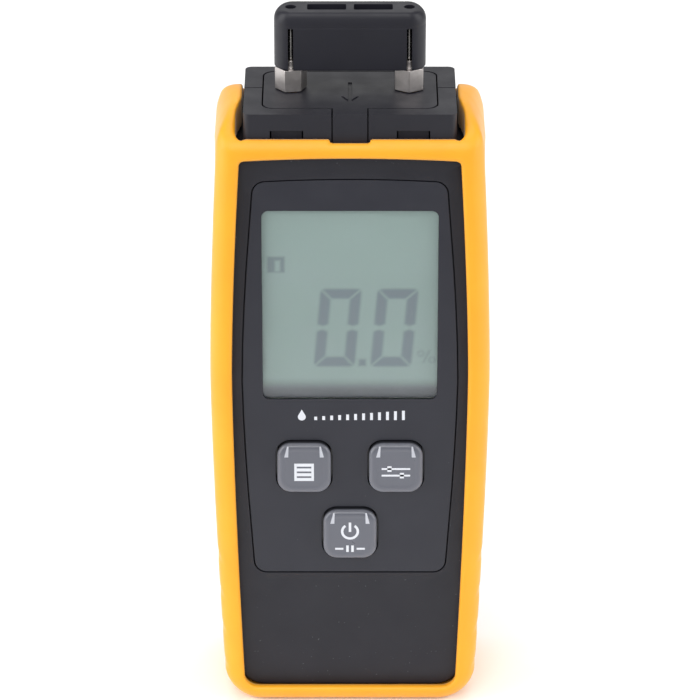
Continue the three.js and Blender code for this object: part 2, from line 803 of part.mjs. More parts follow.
// ---------------------------------------------------------------- holder, sockets, ferrules, pins, cap
function makeHolder() {
  const lidZ = head.topZ - holder.plate;
  let body = prism(holderOutline(0), lidZ, head.topZ, 0, fine);
  for (const x of [-pinX, pinX]) {
    const towerZ = lidZ - holder.towerDepth;
    body = join(body, barZ(x, pinY, towerZ, lidZ + eps, holder.towerRadius));
    body = cut(body, barZ(x, pinY, towerZ - past, head.topZ + 1, socket.radius + gap));
  }
  const armY = frontY + shell.wall + gap;
  for (const [x0, x1] of hookSpans)
    body = join(
      body,
      box([x0, armY, hookZ], [x1, armY + holder.arm, lidZ + eps]),
      box([x0, armY, lidZ - 1], [x1, holder.frontY + 1, lidZ + eps]),
      box([x0, armY - gap - holder.hookReach, hookZ], [x1, armY + eps, hookZ + holder.hookHeight]),
    );
  const tongue = holder.tongueHalfWidth;
  const lip = head.topZ - holder.tongueThickness;
  return join(
    body,
    box([-tongue, frontY, lip], [tongue, holder.frontY + 1, head.topZ]),
    box(
      [-tongue, frontY, head.topZ - holder.tongueDrop],
      [tongue, frontY + holder.tongueThickness, head.topZ],
    ),
  );
}

const makeSocket = (x) =>
  cut(
    barZ(x, pinY, head.topZ - gap - socket.length, head.topZ - gap, socket.radius, socket.radius, 20),
    barZ(x, pinY, head.topZ - ferrule.neckLength - 3, head.topZ + 1, ferrule.neckRadius + gap),
  );

// A hexagonal nut with a threaded neck below and a round collar above, bored for its pin.
function makeFerrule(x, turn) {
  const hexRadius = ferrule.acrossFlats / Math.sqrt(3);
  const nut = new THREE.CylinderGeometry(hexRadius, hexRadius, ferrule.height, 6).rotateX(Math.PI / 2);
  nut.rotateZ(turn).translate(x, pinY, head.topZ + gap / 2 + ferrule.height / 2);
  return cut(
    join(
      solid(nut),
      barZ(x, pinY, head.topZ - ferrule.neckLength, head.topZ + 1, ferrule.neckRadius),
      barZ(x, pinY, ferruleTopZ - eps, ferruleTopZ + ferrule.collarHeight, ferrule.collarRadius),
    ),
    barZ(x, pinY, head.topZ - past, ferruleTopZ + past, pins.radius + gap),
  );
}

function makePin(x) {
  const tipZ = head.topZ + pins.height;
  return join(
    barZ(x, pinY, head.topZ - pins.root + 0.4, tipZ - pins.tipLength + eps, pins.radius),
    barZ(x, pinY, tipZ - pins.tipLength, tipZ, pins.radius, 0.08),
  );
}

function makeCap() {
  const outline = (thinner) =>
    roundedRectangle(
      -cap.halfWidth + thinner, pinY - cap.depth / 2 + thinner,
      cap.halfWidth - thinner, pinY + cap.depth / 2 - thinner, cap.corner,
    );
  const skirtZ = capTopZ - cap.skirtTopDrop;
  let body = join(
    prism(outline(0), capBottomZ, skirtZ + eps),
    prism(outline(cap.skirt / 2), skirtZ - 2, capTopZ, cap.edgeRound),
  );
  for (const x of [-pinX, pinX]) {
    const slotZ = capTopZ - cap.slotTopDrop;
    body = cut(
      body,
      barZ(x, pinY, capBottomZ - 1, capBottomZ + ferrule.collarHeight + gap, ferrule.collarRadius + gap),
      barZ(x, pinY, capBottomZ, capTopZ + 1, cap.pinHole),
      barZ(x, pinY, capTopZ - 0.5, capTopZ + 0.01, cap.pinHole, cap.pinHole + 0.5),
      box([x - cap.slotWidth / 2, pinY - cap.depth, capBottomZ - 1], [x + cap.slotWidth / 2, pinY, slotZ]),
    );
  }
  for (const sideways of [-1, 1]) {
    const x0 = Math.min(sideways * cap.pocketInner, sideways * (cap.pocketInner + cap.pocketLength));
    body = cut(
      body,
      box(
        [x0, pinY - cap.pocketWidth / 2, capTopZ - cap.pocketDepth],
        [x0 + cap.pocketLength, pinY + cap.pocketWidth / 2, capTopZ + 1],
      ),
    );
  }
  return body;
}

// ---------------------------------------------------------------- leads
// An insulated wire through the given points.
function makeLead(points) {
  const curve = new THREE.CatmullRomCurve3(points.map((p) => new THREE.Vector3(...p)));
  const section = new THREE.Shape().absarc(0, 0, leadRadius, 0, 2 * Math.PI);
  return solid(
    new THREE.ExtrudeGeometry(section, {
      steps: 10,
      curveSegments: 2,
      bevelEnabled: false,
      extrudePath: curve,
    }),
  );
}

const electrodeLead = (x, inward) =>
  makeLead([
    [x, pinY, head.topZ - gap - socket.length - gap],
    [x, pinY - 0.3, head.topZ - socket.length - 4],
    [x - inward, pinY - 4, head.topZ - socket.length - 8],
    [x - 1.5 * inward, boardBackY + 2, head.topZ - socket.length - 11.8],
    [x - 1.5 * inward, boardBackY + gap, head.topZ - socket.length - 12],
  ]);

const batteryLead = (x) =>
  makeLead([
    [x, batteryMidY - 4, batteryTopZ + battery.terminalHeight + 0.6 + gap],
    [x, batteryMidY - 5, bayTopZ - 2],
    [x, boardBackY + 2, bayTopZ + 5.8],
    [x, boardBackY + gap, bayTopZ + 6],
  ]);

// ---------------------------------------------------------------- materials and assembly
const finish = (color, roughness, metalness = 0, extra = {}) =>
  new THREE.MeshStandardMaterial({ color, roughness, metalness, ...extra });

const materials = {
  boot: finish("#f9a825", 0.55),
  case: finish("#2b2c31", 0.5),
  plate: finish("#2e2f35", 0.45),
  key: finish("#77787e", 0.35),
  window: finish("#dfe6e2", 0.05, 0, { transparent: true, opacity: 0.35 }),
  glass: finish("#95a29c", 0.2),
  holder: finish("#e8e6df", 0.6),
  rubber: finish("#3a3a3c", 0.8),
  board: finish("#1f6b3a", 0.5),
  chip: finish("#191a1c", 0.5),
  steel: finish("#c4c0bb", 0.3, 1),
  screw: finish("#6a6b6f", 0.35, 1),
  brass: finish("#c8a24b", 0.3, 1),
  jacket: finish("#34383f", 0.4, 0.3),
  redLead: finish("#b3261e", 0.5),
  blackLead: finish("#1c1c1e", 0.5),
};

const meter = new THREE.Group();

// Turns a solid into a named mesh of the meter.
function add(name, material, body) {
  const { numProp, numVert, vertProperties, triVerts } = body.getMesh();
  const positions = new Float32Array(numVert * 3);
  for (let i = 0; i < numVert; i++)
    positions.set(vertProperties.subarray(i * numProp, i * numProp + 3), i * 3);
  const geometry = new THREE.BufferGeometry();
  geometry.setAttribute("position", new THREE.BufferAttribute(positions, 3));
  geometry.setIndex(new THREE.BufferAttribute(triVerts, 1));
  geometry.computeVertexNormals();
  const mesh = new THREE.Mesh(geometry, material);
  mesh.name = name;
  meter.add(mesh);
}

const blank = caseBlank();
add("protective_boot", materials.boot, makeBoot());
add("front_case", materials.case, makeFrontCase(blank));
add("rear_case", materials.case, makeRearCase(blank));
add("face_plate", materials.plate, makeFacePlate());
add("display_window", materials.window, makeDisplayWindow());
add("display_glass", materials.glass, makeGlass());
add("display_holder", materials.holder, makeDisplayHolder());
add("display_connector", materials.rubber, makeDisplayConnector());

for (const [name, centre] of Object.entries(keyCentres)) {
  add(name, materials.key, makeKey(centre));
  add(name.replace("key_", "plunger_"), materials.rubber, makePlunger(centre));
}
add("key_mat", materials.rubber, makeKeyMat());

add("circuit_board", materials.board, makeBoard());
const chipZ = (boardTopZ + displayBottomZ) / 2 - 4;
add("controller_chip", materials.chip, onBoard(0, chipZ, 12, 12, 1.6));
add("amplifier_chip", materials.chip, onBoard(0, boardTopZ - 10, 6, 5, 1.5));
add("timing_crystal", materials.steel, onBoard(-11, chipZ, 3.6, 10, 3.4));
add("smoothing_capacitor", materials.chip, onBoard(11, chipZ - 4, 6.3, 6.3, 5.4));
boardScrewPlaces.forEach(([x, z], i) =>
  add(`board_screw_${i + 1}`, materials.screw, makeScrew(boardScrew, x, z, boardBackY + underHead)),
);

add("electrode_holder", materials.case, makeHolder());
for (const [side, x, turn] of [["left", -pinX, -0.36], ["right", pinX, 0]]) {
  add(`socket_${side}`, materials.brass, makeSocket(x));
  add(`ferrule_${side}`, materials.steel, makeFerrule(x, turn));
  add(`pin_${side}`, materials.steel, makePin(x));
  add(`electrode_lead_${side}`, materials.blackLead, electrodeLead(x, Math.sign(x)));
}
add("pin_cap", materials.case, makeCap());

add("battery", materials.jacket, makeBattery());
add("battery_plus_terminal", materials.steel, makeTerminal(-terminalX, battery.plusRadius));
add("battery_minus_terminal", materials.steel, makeTerminal(terminalX, battery.minusRadius));
add("battery_snap_connector", materials.rubber, makeSnapConnector());
add("battery_lead_red", materials.redLead, batteryLead(-1.6));
add("battery_lead_black", materials.blackLead, batteryLead(1.6));
add("battery_door", materials.case, makeDoor());

bossPlaces.forEach(([x, z], i) =>
  add(
    `case_screw_${i + 1}`,
    materials.screw,
    makeScrew(caseScrew, x, z, backY - caseScrew.sink - caseScrew.headHeight + underHead),
  ),
);

export default meter;
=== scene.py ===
# %% [markdown]
# # A pin-type moisture meter
# A hand-held meter stands on its foot, in metres: +Z runs up to its pins and its face looks
# along -Y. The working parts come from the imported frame. This file builds the surfaces that
# show, gives every piece its material, and sets the light and the camera.

import json
import math

import bmesh
import bpy
import numpy as np
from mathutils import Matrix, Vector


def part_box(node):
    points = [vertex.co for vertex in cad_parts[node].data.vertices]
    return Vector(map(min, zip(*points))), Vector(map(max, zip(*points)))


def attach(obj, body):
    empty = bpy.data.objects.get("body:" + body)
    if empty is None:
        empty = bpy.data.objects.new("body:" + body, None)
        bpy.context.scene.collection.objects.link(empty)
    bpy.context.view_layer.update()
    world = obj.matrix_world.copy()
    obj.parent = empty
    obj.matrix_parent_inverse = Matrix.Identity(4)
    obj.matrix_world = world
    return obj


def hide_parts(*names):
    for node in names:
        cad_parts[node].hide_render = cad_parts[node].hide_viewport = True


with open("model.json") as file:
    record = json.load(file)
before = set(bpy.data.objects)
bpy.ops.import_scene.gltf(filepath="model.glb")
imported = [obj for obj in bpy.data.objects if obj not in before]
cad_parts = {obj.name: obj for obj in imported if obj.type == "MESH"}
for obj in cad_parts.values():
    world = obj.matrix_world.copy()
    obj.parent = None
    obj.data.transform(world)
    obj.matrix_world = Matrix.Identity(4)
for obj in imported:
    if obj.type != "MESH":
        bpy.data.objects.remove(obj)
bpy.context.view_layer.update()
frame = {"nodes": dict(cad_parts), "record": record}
MM = 0.001


# %% [markdown]
# ## Camera, floor and light
# A long lens looks down a little at the face. The floor is pale and the light is soft, from
# large panels, as round a light tent.

# %% Camera
VIEW_ELEVATION = math.radians(25.5)
VIEW_DISTANCE = 0.950
VIEW_HEIGHT = 0.0798  # the height on the meter that the lens is aimed at

lens = bpy.data.cameras.new("camera")
lens.lens = 224.5
lens.sensor_width = 36.0
camera = bpy.data.objects.new("camera", lens)
bpy.context.scene.collection.objects.link(camera)
camera.location = (
    0,
    -VIEW_DISTANCE * math.cos(VIEW_ELEVATION),
    VIEW_HEIGHT + VIEW_DISTANCE * math.sin(VIEW_ELEVATION),
)
camera.rotation_euler = (math.pi / 2 - VIEW_ELEVATION, 0, 0)
bpy.context.scene.camera = camera
print("camera at", [round(v, 3) for v in camera.location])


# %% Colours
def linear(hex_colour):
    """An sRGB colour such as "f9a825" as the linear values that a shader takes."""
    channels = [int(hex_colour[i:i + 2], 16) / 255 for i in (0, 2, 4)]
    lights = [c / 12.92 if c <= 0.04045 else ((c + 0.055) / 1.055) ** 2.4 for c in channels]
    return (*lights, 1.0)


# %% Floor
def build_floor():
    """One pale paper sheet. It is white under the meter and behind it, and carries painted shade in
    front: a greyer band that stands in for the floor lying in shade there, so that the upright
    faces mirror less of it towards their tops."""
    half = 1.6
    # painted shade: the sheet is painted greyer in front of the meter, standing in for shade there
    painted_shade_y, white_y = -0.32, -0.08
    grey, white = 0.3, 0.96
    mesh = bpy.data.meshes.new("floor")
    corners = [(-half, -half, 0), (half, -half, 0), (half, half, 0), (-half, half, 0)]
    mesh.from_pydata(corners, [], [(0, 1, 2, 3)])
    sheet = bpy.data.objects.new("floor", mesh)
    bpy.context.scene.collection.objects.link(sheet)
    paint = bpy.data.materials.new("matte_white_paper")
    paint.use_nodes = True
    shader = paint.node_tree.nodes["Principled BSDF"]
    shader.inputs["Roughness"].default_value = 0.9
    place = paint.node_tree.nodes.new("ShaderNodeTexCoord")
    split = paint.node_tree.nodes.new("ShaderNodeSeparateXYZ")
    shade = paint.node_tree.nodes.new("ShaderNodeMapRange")
    shade.interpolation_type = "SMOOTHSTEP"
    values = {"From Min": painted_shade_y, "From Max": white_y, "To Min": grey, "To Max": white}
    for name, value in values.items():
        shade.inputs[name].default_value = value
    link = paint.node_tree.links.new
    link(place.outputs["Object"], split.inputs["Vector"])
    link(split.outputs["Y"], shade.inputs["Value"])
    link(shade.outputs["Result"], shader.inputs["Base Color"])
    mesh.materials.append(paint)


build_floor()


# %% Light
def panel(name, place, size, power):
    """A soft rectangular light panel that faces the meter's middle."""
    light = bpy.data.lights.new(name, "AREA")
    light.shape = "RECTANGLE"
    light.size, light.size_y = size
    light.energy = power
    lamp = bpy.data.objects.new(name, light)
    bpy.context.scene.collection.objects.link(lamp)
    lamp.location = place
    towards = Vector((0, 0, 0.08)) - Vector(place)
    lamp.rotation_euler = towards.to_track_quat("-Z", "Y").to_euler()


panel("front_panel", (-0.15, -1.3, 1.0), (1.2, 0.9), 13)
panel("left_panel", (-0.9, -0.25, 0.35), (0.8, 0.9), 8)
panel("right_panel", (0.9, -0.25, 0.35), (0.8, 0.9), 6)
panel("top_panel", (0, 0.1, 1.3), (1.2, 1.0), 6)
panel("back_panel", (0, 1.3, 0.8), (1.6, 0.6), 2)

world = bpy.data.worlds.new("studio")
bpy.context.scene.world = world
world.use_nodes = True
background = world.node_tree.nodes["Background"]
background.inputs["Color"].default_value = (1, 1, 1, 1)
background.inputs["Strength"].default_value = 0.45
bpy.context.scene.view_settings.view_transform = "Standard"


# %% [markdown]
# ## Sizes
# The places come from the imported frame's boxes, so the new surfaces fit the working parts.
# Everything below is worked out in millimetres and scaled once, when a mesh is made.

# %% Sizes from the frame
def box_mm(node):
    """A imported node's lowest and highest corners, in millimetres."""
    low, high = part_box(node)
    return np.array(low) * 1000, np.array(high) * 1000


boot_high = box_mm("protective_boot")[1]
case_low, case_high = box_mm("front_case")
cap_low, cap_high = box_mm("pin_cap")
GAP = 0.3  # between the case and the boot
FACE_Y = case_low[1]
HEAD_Z = case_high[2]
BOOT_HALF_WIDTH = boot_high[0]
BOOT_HALF_DEPTH = boot_high[1] - 0.01
EAR_Z = boot_high[2]
print("face", round(FACE_Y, 2), "head", round(HEAD_Z, 2), "ears", round(EAR_Z, 2))


# %% [markdown]
# ## Shape tools
# Three small tools make every new surface: stacked outlines for prisms and crowned keys,
# booleans with a fine bevel for moulded parts, and a smooth implicit surface for the boot,
# whose edges all melt into each other.

# %% Mesh helpers
def new_object(name, mesh):
    piece = bpy.data.objects.new(name, mesh)
    bpy.context.scene.collection.objects.link(piece)
    return piece


def mesh_from(name, points_mm, faces):
    """A mesh object from points in millimetres, with its faces turned outwards."""
    mesh = bpy.data.meshes.new(name)
    mesh.from_pydata([tuple(np.array(p) * MM) for p in points_mm], [], faces)
    work = bmesh.new()
    work.from_mesh(mesh)
    bmesh.ops.remove_doubles(work, verts=work.verts, dist=1e-7)
    bmesh.ops.recalc_face_normals(work, faces=work.faces)
    work.to_mesh(mesh)
    work.free()
    return new_object(name, mesh)


def stacked(name, loops):
    """A closed solid through a stack of loops with the same number of points, capped."""
    count = len(loops[0])
    points = [p for loop in loops for p in loop]
    faces = []
    for level in range(len(loops) - 1):
        base = level * count
        for i in range(count):
            j = (i + 1) % count
            faces.append((base + i, base + j, base + count + j, base + count + i))
    faces.append(tuple(range(count))[::-1])
    faces.append(tuple((len(loops) - 1) * count + i for i in range(count)))
    return mesh_from(name, points, faces)


def rounded_rectangle(x, z, half_x, half_z, radius, segments=8):
    """A rounded rectangle about a centre, as (x, z) points."""
    points = []
    corners = [(1, -1, -90), (1, 1, 0), (-1, 1, 90), (-1, -1, 180)]
    for side_x, side_z, start in corners:
        for i in range(segments + 1):
            angle = math.radians(start + 90 * i / segments)
            points.append((
                x + side_x * (half_x - radius) + radius * math.cos(angle),
                z + side_z * (half_z - radius) + radius * math.sin(angle),
            ))
    return points


def prism_y(name, outline, y0, y1):
    """An (x, z) outline made solid from the depth y0 back to y1."""
    return stacked(name, [[(x, y, z) for x, z in outline] for y in (y0, y1)])


def prism_z(name, outline, z0, z1):
    """An (x, y) outline made solid from the height z0 up to z1."""
    return stacked(name, [[(x, y, z) for x, y in outline] for z in (z0, z1)])


def block(low, high):
    """A plain cutting block between two corners."""
    (x0, y0, z0), (x1, y1, z1) = low, high
    return prism_y("block", [(x0, z0), (x1, z0), (x1, z1), (x0, z1)], y0, y1)


def disc(x, y, radius, segments=32):
    """A round outline about a centre."""
    turns = [2 * math.pi * i / segments for i in range(segments)]
    return [(x + radius * math.cos(a), y + radius * math.sin(a)) for a in turns]


def boolean(target, cutters):
    """Cuts the cutters out of the target, and throws them away."""
    for cutter in cutters:
        change = target.modifiers.new("boolean", "BOOLEAN")
        change.object = cutter
        change.operation = "DIFFERENCE"
        change.solver = "MANIFOLD"
    apply_modifiers(target)
    for cutter in cutters:
        bpy.data.objects.remove(cutter)
    return target


def apply_modifiers(piece):
    """Leaves the piece as the plain mesh that its modifiers make of it."""
    graph = bpy.context.evaluated_depsgraph_get()
    mesh = bpy.data.meshes.new_from_object(piece.evaluated_get(graph), depsgraph=graph)
    piece.modifiers.clear()
    piece.data = mesh
    return piece


def soften(piece, width, segments=2, angle=32):
    """Rounds every sharp edge by a small width in millimetres, and shades the piece smooth."""
    work = bmesh.new()
    work.from_mesh(piece.data)
    bmesh.ops.remove_doubles(work, verts=work.verts, dist=2e-6)
    bmesh.ops.dissolve_limit(
        work, angle_limit=math.radians(0.6), verts=work.verts, edges=work.edges, delimit=set()
    )
    bmesh.ops.recalc_face_normals(work, faces=work.faces)
    work.to_mesh(piece.data)
    work.free()
    bevel = piece.modifiers.new("bevel", "BEVEL")
    bevel.width = width * MM
    bevel.segments = segments
    bevel.limit_method = "ANGLE"
    bevel.angle_limit = math.radians(angle)
    bevel.miter_outer = "MITER_ARC"
    bevel.use_clamp_overlap = True
    apply_modifiers(piece)
    return smooth(piece)


def smooth(piece, angle=40):
    """Smooth shading, broken only where faces meet at more than the angle."""
    piece.data.shade_smooth()
    piece.data.set_sharp_from_angle(angle=math.radians(angle))
    weighted = piece.modifiers.new("weighted", "WEIGHTED_NORMAL")
    weighted.keep_sharp = True
    apply_modifiers(piece)
    return piece


def copy_of(node, name):
    """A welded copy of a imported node's mesh, to be worked on."""
    source = frame["nodes"][node]
    piece = new_object(name, source.data.copy())
    piece.data.materials.clear()
    work = bmesh.new()
    work.from_mesh(piece.data)
    bmesh.ops.remove_doubles(work, verts=work.verts, dist=2e-6)
    work.to_mesh(piece.data)
    work.free()
    for layer in list(piece.data.uv_layers):
        piece.data.uv_layers.remove(layer)
    return piece


# %% [markdown]
# An implicit surface is the set of points where a field is zero. The field is sampled on a
# grid, one point is placed in every cell that the surface crosses, and each point is then
# drawn exactly onto the surface.

# %% Implicit surface
def implicit(name, field, low, high, step):
    """A closed smooth mesh of the surface where field(x, y, z) is zero, negative inside."""
    axes = [np.arange(a, b + step, step) for a, b in zip(low, high)]
    values = field(*np.meshgrid(*axes, indexing="ij"))
    inside = values < 0
    shape = [n - 1 for n in values.shape]
    offsets = [(i, j, k) for i in (0, 1) for j in (0, 1) for k in (0, 1)]

    def corner(grid, o):
        """The grid seen from one corner of every cell."""
        return grid[tuple(slice(start, start + n) for start, n in zip(o, shape))]

    def at(grid, o):
        """The grid at one corner of each crossed cell."""
        return grid[cells[:, 0] + o[0], cells[:, 1] + o[1], cells[:, 2] + o[2]]

    count = sum(corner(inside, o).astype(np.int8) for o in offsets)
    active = (count > 0) & (count < 8)
    cells = np.argwhere(active)
    index = -np.ones(shape, dtype=np.int64)
    index[active] = np.arange(len(cells))
    total = np.zeros((len(cells), 3))
    hits = np.zeros(len(cells))
    for a in offsets:
        for axis in range(3):
            if a[axis]:
                continue
            b = tuple(v + (i == axis) for i, v in enumerate(a))
            fa, fb = at(values, a), at(values, b)
            crossed = (fa < 0) != (fb < 0)
            share = np.where(crossed, fa / np.where(fa == fb, 1, fa - fb), 0)
            place = np.array(a, dtype=float)[None, :].repeat(len(cells), 0)
            place[:, axis] += share
            total[crossed] += place[crossed]
            hits += crossed
    origin = np.array([axis[0] for axis in axes])
    points = origin + (cells + total / hits[:, None]) * step
    for _ in range(6):
        value, slope = field(*points.T), gradient(field, points)
        points -= np.clip(value / (slope ** 2).sum(1).clip(1e-6), -step, step)[:, None] * slope
    faces = []
    for axis in range(3):
        u, v = [(1, 2), (2, 0), (0, 1)][axis]
        first = np.moveaxis(inside, axis, 0)
        change = np.moveaxis(first[1:] != first[:-1], 0, axis)
        spots = np.argwhere(change)
        spots = spots[(spots[:, u] > 0) & (spots[:, v] > 0)]
        spots = spots[(spots[:, u] < shape[u]) & (spots[:, v] < shape[v])]
        ring = []
        for du, dv in ((-1, -1), (0, -1), (0, 0), (-1, 0)):
            spot = spots.copy()
            spot[:, u] += du
            spot[:, v] += dv
            ring.append(index[spot[:, 0], spot[:, 1], spot[:, 2]])
        quads = np.stack(ring, 1)
        starts_inside = inside[spots[:, 0], spots[:, 1], spots[:, 2]]
        quads[~starts_inside] = quads[~starts_inside][:, ::-1]
        faces.append(quads)
    mesh = bpy.data.meshes.new(name)
    quads = np.concatenate(faces)
    mesh.from_pydata((points * MM).tolist(), [], quads.tolist())
    mesh.shade_smooth()
    return new_object(name, mesh)


def gradient(field, points, reach=0.01):
    """The field's slope at each point."""
    slope = np.empty_like(points)
    for axis in range(3):
        shift = np.zeros(3)
        shift[axis] = reach
        slope[:, axis] = (field(*(points + shift).T) - field(*(points - shift).T)) / (2 * reach)
    return slope


def rounded_and(a, b, radius):
    """The overlap of two solids, with the edge between them rounded."""
    reach = np.sqrt(np.maximum(a + radius, 0) ** 2 + np.maximum(b + radius, 0) ** 2)
    return np.minimum(-radius, np.maximum(a, b)) + reach


# %% [markdown]
# ## Outlines
# The meter is widest a little above its middle and draws in towards both ends. The boot, its
# window, the case and the face plate all follow the same curve at their own distance.

# %% The curve that the sides follow
WIDEST_Z = 80.0
TOP_DRAW, BOTTOM_DRAW = 2.32, 2.75


def drawn(z):
    """How far the sides have drawn in, from 0 at the widest height to 1 at either end."""
    above = np.clip((z - WIDEST_Z) / (EAR_Z - WIDEST_Z), 0, 2) ** 1.5
    below = np.clip((WIDEST_Z - z) / WIDEST_Z, 0, 2) ** 1.5
    return above, below


def boot_side(z):
    above, below = drawn(np.asarray(z, dtype=float))
    return BOOT_HALF_WIDTH - TOP_DRAW * above - BOTTOM_DRAW * below


def tapered_field(x, z, side, bottom, top, bottom_radius, top_radius, arch=0.0):
    """Distance to a symmetric outline whose half width at each height is side(z)."""
    half = side(z)
    z = z - arch * np.clip(1 - (x / half) ** 2, 0, 1) * (z > (bottom + top) / 2)
    radius = np.where(z < (bottom + top) / 2, bottom_radius, top_radius)
    u = np.abs(x) - (half - radius)
    v = np.abs(z - (bottom + top) / 2) - ((top - bottom) / 2 - radius)
    outside = np.sqrt(np.maximum(u, 0) ** 2 + np.maximum(v, 0) ** 2)
    return outside + np.minimum(np.maximum(u, v), 0) - radius


# %% [markdown]
# ## The protective boot
# One soft moulding, 2 mm proud of the case all round. The rim in front and the rim behind
# are rounded, the two ears rise beside the head, and five slanted grooves on each side give
# the hand a grip.

# %% Boot sizes
SHOULDER_Z = HEAD_Z - 7.7
WINDOW_TOP = SHOULDER_Z - 2.4
WINDOW_FOOT = 4.2
RIM, RIM_GAIN, RIM_LOSS = 4.75, 0.35, 0.45  # the rim's width, and how it changes towards the ends
FOOT_CORNER, EAR_CORNER = 8.0, 8.5
RIM_ROLL = 4.0  # radius of the long edges in front and behind
RIM_BACK = 12.0  # the windows are cut through everything further out than this
ROOM_HALF_DEPTH = 13.8
WALL = 2.2
DIP_HALF, DIP_RISE = 4.2, 1.5
CASE_FOOT_Z = case_low[2]
HEAD_OPENING_X = 22.9
CROWN_DROP = 6.4
OPENING_GAIN = 1.15
EAR_SWELL_Z, EAR_SWELL, SWELL_REACH = 131.5, 0.45, 2.5
CROWN_RADIUS = (BOOT_HALF_DEPTH ** 2 + CROWN_DROP ** 2) / (2 * CROWN_DROP)
GRIP_TILT = math.radians(28)
GRIP_COUNT, GRIP_Z, GRIP_STEP, GRIP_DEPTH = 5, 6.5, 9.0, 0.5


def opening_side(y):
    """Half width of the room for the head: wider in front, so that the ears stand off there."""
    forward = np.clip((-y - 0.5) / 7.5, 0, 1)
    return HEAD_OPENING_X + OPENING_GAIN * forward ** 2 * (3 - 2 * forward)


def room_side(z):
    """Half width of the room for the case."""
    return boot_side(z) - WALL


def window_side(z):
    """Half width of the window in the boot, in front and behind."""
    above, below = drawn(np.asarray(z, dtype=float))
    return boot_side(z) - RIM - RIM_GAIN * above + RIM_LOSS * below


# %% Boot surface
def boot_field(x, y, z):
    """Negative inside the rubber."""
    side = np.abs(x)
    outline = tapered_field(x, z, boot_side, 0.0, EAR_Z + 1.0, FOOT_CORNER, EAR_CORNER)
    swell = np.exp(-((z - EAR_SWELL_Z) / SWELL_REACH) ** 2) * np.clip((y + 13.0) / 10.0, 0, 1)
    outline = outline - EAR_SWELL * swell
    body = rounded_and(outline, np.abs(y) - BOOT_HALF_DEPTH, RIM_ROLL)
    arch_z = EAR_Z - CROWN_RADIUS
    arch = np.where(z > arch_z, np.hypot(y, z - arch_z) - CROWN_RADIUS, np.abs(y) - CROWN_RADIUS)
    body = rounded_and(body, arch, 1.2)

    # Grip grooves: shallow slanted valleys in both sides, fading out towards front and back.
    fade = np.clip((BOOT_HALF_DEPTH - 1.0 - np.abs(y)) / 4.0, 0, 1)
    outer = np.clip((side - 20) / 4, 0, 1)
    for i in range(GRIP_COUNT):
        middle_z = GRIP_Z + GRIP_STEP * i
        across = (z - middle_z) * math.cos(GRIP_TILT) - y * math.sin(GRIP_TILT)
        body = body + GRIP_DEPTH * np.exp(-(across / 1.0) ** 2) * fade * outer

    # The room for the case, and for the head above its shoulders.
    room = tapered_field(x, z, room_side, CASE_FOOT_Z - GAP, SHOULDER_Z + GAP, 6.0, 3.4)
    room = rounded_and(room, np.abs(y) - ROOM_HALF_DEPTH, 3.0)
    opening = rounded_and(side - opening_side(y), np.abs(y) - ROOM_HALF_DEPTH, 1.8)
    opening = rounded_and(opening, SHOULDER_Z - 6.0 - z, 0.5)

    # The windows in front and behind.
    window = tapered_field(x, z, window_side, WINDOW_FOOT, WINDOW_TOP, 2.8, 1.0, 0.7)
    window = np.maximum(window, RIM_BACK - np.abs(y))

    # The bar over the head's root dips a little in front of the tongue.
    dip = np.maximum(side - DIP_HALF, (SHOULDER_Z + DIP_RISE) - z)
    dip = np.maximum(dip, y + RIM_BACK)

    # The ears' inner edges are rolled more than the bar's, and less towards their tops.
    ear = np.clip((side - 22.0) / 0.9, 0, 1) * np.clip((EAR_Z - 0.5 - z) / 5, 0, 1)
    body = rounded_and(body, -opening, 0.4 + 0.7 * ear)
    body = np.maximum(body, -room)
    body = rounded_and(body, -window, 0.7)
    return rounded_and(body, -dip, 0.3)


def build_boot():
    margin, step = 1.3, 0.52
    low = np.array([-BOOT_HALF_WIDTH, -BOOT_HALF_DEPTH, 0]) - margin
    high = np.array([BOOT_HALF_WIDTH, BOOT_HALF_DEPTH, EAR_Z]) + margin
    boot = implicit("protective_boot_moulding", boot_field, low, high, step)
    thin = boot.modifiers.new("thin", "DECIMATE")
    thin.ratio = 0.55
    apply_modifiers(boot)
    boot.data.shade_smooth()
    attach(boot, "meter")
    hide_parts("protective_boot")
    return boot


boot = build_boot()
print("boot:", len(boot.data.polygons), "faces")


# %% [markdown]
# ## Moulded case parts
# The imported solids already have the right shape, so these pieces are welded copies of them
# whose edges get the small radius that a mould leaves. That radius catches the light.

# %% Case halves, face plate, door and ferrules
def moulded(node, name, body, radius):
    """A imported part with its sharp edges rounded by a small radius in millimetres."""
    piece = soften(copy_of(node, name), radius)
    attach(piece, body)
    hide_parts(node)
    return piece


front_case = moulded("front_case", "front_case_moulding", "meter", 0.25)
rear_case = moulded("rear_case", "rear_case_moulding", "meter", 0.3)
face_plate = moulded("face_plate", "face_plate_moulding", "meter", 0.12)
door = moulded("battery_door", "battery_door_moulding", "battery_door", 0.15)
ferrules = [
    moulded(f"ferrule_{side}", f"hexagonal_ferrule_{side}", "meter", 0.14)
    for side in ("left", "right")
]
print("moulded:", [len(p.data.polygons) for p in (front_case, rear_case, face_plate, door)])


# %% [markdown]
# ## Keys
# Each key is one smoky moulding: a retaining flange behind the plate and a crowned cap that
# stands a little proud, with a soft roll all round its top.

# %% Keys
KEYS = {"key_mode": "mode_key", "key_set": "set_key", "key_power": "power_key"}
KEY_ROLL = 1.15  # width of the rolled edge
ROLL_SQUASH = 0.8  # its depth as a share of its width
KEY_FLANGE, FLANGE_DEPTH = 0.9, 0.7
KEY_DISH, DISH_EDGE, DISH_FLOOR = 0.08, 1.5, 1.9  # its depth, and where it starts and ends
KEY_CORNER, CORNER_LOSS = 3.0, 0.6
KEY_FRONT_Y = box_mm("key_mode")[0][1]


def roll_depth(turn):
    """How far the rolled edge lies behind the key's face, where it has turned by an angle."""
    return KEY_ROLL * (1 - math.sin(turn)) * ROLL_SQUASH


